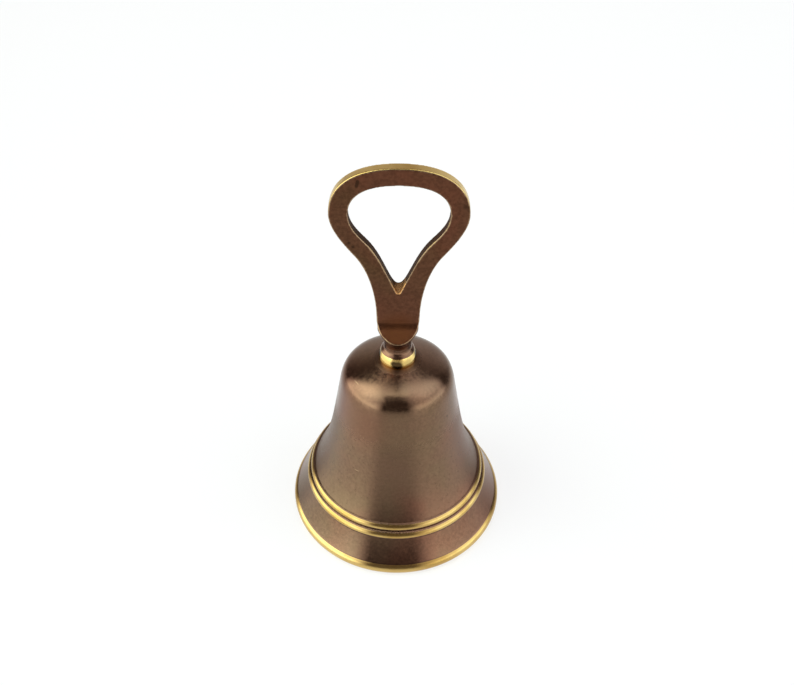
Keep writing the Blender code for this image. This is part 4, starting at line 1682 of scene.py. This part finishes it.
@dataclass
class Studio:
    """A white table with soft panels at either side, and the camera that took the photograph.

    The ramps of the room give a level between two angles, in degrees, and those of the strip between
    two shares of a direction's length.
    """

    camera_place: Place = (-0.00025, -0.225, 0.28298)
    camera_pitch: float = math.radians(42.80)
    camera_roll: float = math.radians(0.6)
    focal_pixels: float = 956.5
    image_width: int = 794
    sensor: float = 36.0
    clip_start: float = 5.0 * MM
    floor_size: float = 6.0
    floor_drop: float = 0.02 * MM
    floor_white: float = 0.79
    floor_shade: float = 0.25
    floor_paper: float = 0.8
    floor_sheen: float = 1.8
    floor_roughness: float = 0.18
    room_level: float = 1.78
    panels: tuple[Panel, ...] = PANELS
    behind_right: Ramp = (118.0, 150.0)
    behind_left: Ramp = (-162.0, -128.0, 1.0, 0.0)
    behind_level: Ramp = (2.0, 55.0, 0.64, 0.24)
    front_level: Ramp = (58.0, 78.0, 0.10, 0.17)
    wall_level: Ramp = (-0.5, 1.0, 0.78, 0.0)
    strip_rear: Ramp = (-0.14, -0.05, 1.0, 0.0)
    strip_fore: Ramp = (-0.25, -0.15)
    strip_level: Ramp = (0.92, 0.97, 0.0, 3.0)
    dim_tint: Colour = (0.84, 0.66, 0.61)
    middle_tint: Colour = (0.73, 0.70, 0.71)
    bright_tint: Colour = (0.62, 0.70, 0.66)
    middle_share: float = 0.2
    tint_full: float = 2.5
    cool: Colour = (0.97, 1.02, 1.1)
    cool_from: Ramp = (45.0, 100.0)
    cool_until: Ramp = (130.0, 175.0, 1.0, 0.0)

    def camera(self) -> None:
        """Set up the camera at the photograph's viewing angle."""
        data = bpy.data.cameras.new("camera")
        data.sensor_width = self.sensor
        data.sensor_fit = "HORIZONTAL"
        data.lens = self.focal_pixels * self.sensor / self.image_width
        data.clip_start = self.clip_start
        made = bpy.data.objects.new("camera", data)
        bpy.context.scene.collection.objects.link(made)
        tilt = Euler((math.pi / 2 - self.camera_pitch, 0.0, 0.0)).to_matrix().to_4x4()
        made.matrix_world = (Matrix.Translation(self.camera_place) @ tilt
                             @ Matrix.Rotation(self.camera_roll, 4, "Z"))
        bpy.context.scene.camera = made

    def floor(self) -> None:
        """Lay the pale satin floor, which keeps a faint shadow of the bell."""
        half = self.floor_size / 2
        spots = [(x * half, y * half, -self.floor_drop) for x, y in ((-1, -1), (1, -1), (1, 1), (-1, 1))]
        mesh = bpy.data.meshes.new("floor")
        mesh.from_pydata(spots, [], [(0, 1, 2, 3)])
        made = bare_object("floor", mesh)
        material = bpy.data.materials.new("floor_paper")
        material.use_nodes = True
        material.node_tree.nodes.clear()
        graph = Graph(material.node_tree)
        path = graph.add("ShaderNodeLightPath").outputs
        paper = graph.add("ShaderNodeBsdfDiffuse", {"Color": [self.floor_paper] * 3}).outputs[0]
        white = graph.add("ShaderNodeEmission", {"Strength": self.floor_white}).outputs[0]
        shaded = graph.add("ShaderNodeBsdfDiffuse", {"Color": [self.floor_shade] * 3}).outputs[0]
        white = graph.add("ShaderNodeAddShader", {0: white, 1: shaded}).outputs[0]
        gloss = graph.add("ShaderNodeBsdfGlossy", {"Roughness": self.floor_roughness}).outputs[0]
        facing = graph.add("ShaderNodeFresnel", {"IOR": self.floor_sheen}).outputs[0]
        white = graph.add("ShaderNodeMixShader", {0: facing, 1: white, 2: gloss}).outputs[0]
        kinds = ("Is Camera Ray", "Is Glossy Ray", "Is Transmission Ray")
        seen = graph.chain("MAXIMUM", *(path[kind] for kind in kinds))
        mixed = graph.add("ShaderNodeMixShader", {0: seen, 1: paper, 2: white}).outputs[0]
        graph.add("ShaderNodeOutputMaterial", {0: mixed})
        mesh.materials.append(material)

    def world(self) -> None:
        """Light the set: soft panels left and right, a strip overhead, a dim front and ceiling."""
        world = bpy.data.worlds.new("studio")
        bpy.context.scene.world = world
        world.use_nodes = True
        world.node_tree.nodes.clear()
        graph = Graph(world.node_tree)
        ray = graph.add("ShaderNodeTexCoord").outputs["Generated"]
        axis = graph.add("ShaderNodeSeparateXYZ", {0: ray}).outputs
        turn = graph.maths("ARCTAN2", axis[0], graph.maths("MULTIPLY", axis[1], -1.0))
        azimuth = graph.maths("DEGREES", turn)
        height = graph.maths("DEGREES", graph.maths("ARCSINE", axis[2]))
        strip = graph.chain("MULTIPLY", graph.ramp(axis[1], *self.strip_rear),
                            graph.ramp(axis[1], *self.strip_fore), graph.ramp(axis[2], *self.strip_level))
        panels = [panel.light(graph, azimuth, height) for panel in self.panels]
        light = graph.chain("MAXIMUM", self.dim_room(graph, azimuth, height), *panels, strip)
        level = graph.maths("MULTIPLY", light, self.room_level)
        shine = graph.add("ShaderNodeBackground", {
            "Color": self.tint(graph, light, azimuth), "Strength": level}).outputs[0]
        graph.add("ShaderNodeOutputWorld", {0: shine})

    def dim_room(self, graph: Graph, azimuth: Socket, height: Socket) -> Socket:
        """Find how bright the room is: dim in front, paler low behind the bell, with a pale far wall.

        Args:
            graph: Graph of the world.
            azimuth: Degrees from the front, to the right.
            height: Degrees over the horizon.

        Returns:
            The room's level.
        """
        behind = graph.maths("MAXIMUM", graph.ramp(azimuth, *self.behind_right),
                             graph.ramp(azimuth, *self.behind_left))
        room = graph.blend(behind, graph.ramp(height, *self.front_level),
                           graph.ramp(height, *self.behind_level))
        return graph.maths("MAXIMUM", room, graph.ramp(height, *self.wall_level))

    def tint(self, graph: Graph, light: Socket, azimuth: Socket) -> Socket:
        """Colour the light, warm in the dim parts of the room and cool at the right.

        Args:
            graph: Graph of the world.
            light: Level of light.
            azimuth: Degrees from the front, to the right.

        Returns:
            The colour.
        """
        warmth = graph.add("ShaderNodeValToRGB", {0: graph.maths("DIVIDE", light, self.tint_full)})
        stops = warmth.color_ramp.elements
        stops[0].color = opaque(self.dim_tint)
        stops[1].color = opaque(self.bright_tint)
        stops.new(self.middle_share).color = opaque(self.middle_tint)
        right = graph.maths("MULTIPLY", graph.ramp(azimuth, *self.cool_from),
                            graph.ramp(azimuth, *self.cool_until))
        cool = graph.mix(right, (1.0, 1.0, 1.0), self.cool)
        return graph.mix(1.0, warmth.outputs[0], cool, "MULTIPLY")

    def build(self) -> None:
        """Set up floor, light, camera and view."""
        self.floor()
        self.world()
        self.camera()
        bpy.context.scene.view_settings.view_transform = "Standard"


SHELL_FINISH = AntiqueBrass(brown_roughness=0.17, turning=0.8, marks=(
    Mark((-14.75, -5.60, 64.20), 0.24, MarkKind.SCRATCH, 0.28, (-13.80, -7.20, 64.40)),
    Mark((-13.60, -7.40, 64.42), 0.30, MarkKind.SCRATCH, 0.36, (-12.60, -8.90, 64.48)),
    Mark((-13.90, -18.80, 33.86), 0.26, MarkKind.SCRATCH, 0.45, (-12.70, -19.60, 33.95)),
    Mark((16.38, -11.32, 52.53), 0.60),
    Mark((-13.62, -14.33, 53.41), 16.0, MarkKind.BLUSH, 0.45)))
# The bead's dark marks at its front and sides are painted shade and painted dark reflection on the gold,
# darkened further by the high cover.
BEAD_FINISH = AntiqueBrass(
    gold=(0.88, 0.66, 0.25), deep_gold=(0.74, 0.49, 0.15), gold_roughness=0.10, grime_and_shade_cover=0.94, marks=(
        Mark((0.1, -6.1, 70.0), 2.2, MarkKind.PIT, 1.5),
        Mark((-1.4, -5.8, 70.6), 1.3, MarkKind.PIT, 1.1),
        Mark((3.6, -5.2, 70.3), 3.0, MarkKind.PIT, 0.36),
        Mark((-6.6, -0.8, 71.2), 2.6, MarkKind.PIT, 1.2),
        Mark((6.6, -0.8, 71.2), 2.6, MarkKind.PIT, 1.2)))
HANDLE_FINISH = AntiqueBrass(
    brown=(0.106, 0.047, 0.026), warm=(0.119, 0.044, 0.024), olive=(0.093, 0.049, 0.023),
    blush=(0.145, 0.052, 0.021), gold=(0.70, 0.50, 0.175), deep_gold=(0.54, 0.345, 0.092),
    cast=(0.92, 0.49, 0.18), brown_roughness=0.33, mottle=0.24, marks=(
        Mark((-11.60, -1.60, 136.40), 0.62, MarkKind.PIT, 2.2, (-11.95, -1.60, 134.80)),
        Mark((-14.49, -1.60, 115.30), 0.8),
        Mark((-13.37, -1.60, 113.86), 0.8),
        Mark((18.75, -1.60, 128.32), 1.3, MarkKind.PIT, 0.8),
        Mark((0.0, -5.20, 81.60), 10.0, MarkKind.BLUSH)))


def main() -> None:
    """Build the bell's pieces in order and set up the studio."""
    logging.basicConfig(level=logging.INFO, format="%(name)s: %(message)s")
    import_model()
    lathe = Lathe()
    BellShell().build(lathe, SHELL_FINISH)
    NeckBead().build(lathe, BEAD_FINISH)
    LoopHandle().build(lathe, HANDLE_FINISH)
    wire = Wire()
    Hanger().build(lathe, wire)
    Clapper().build(lathe, wire)
    Studio().build()


if __name__ == "__main__":
    main()
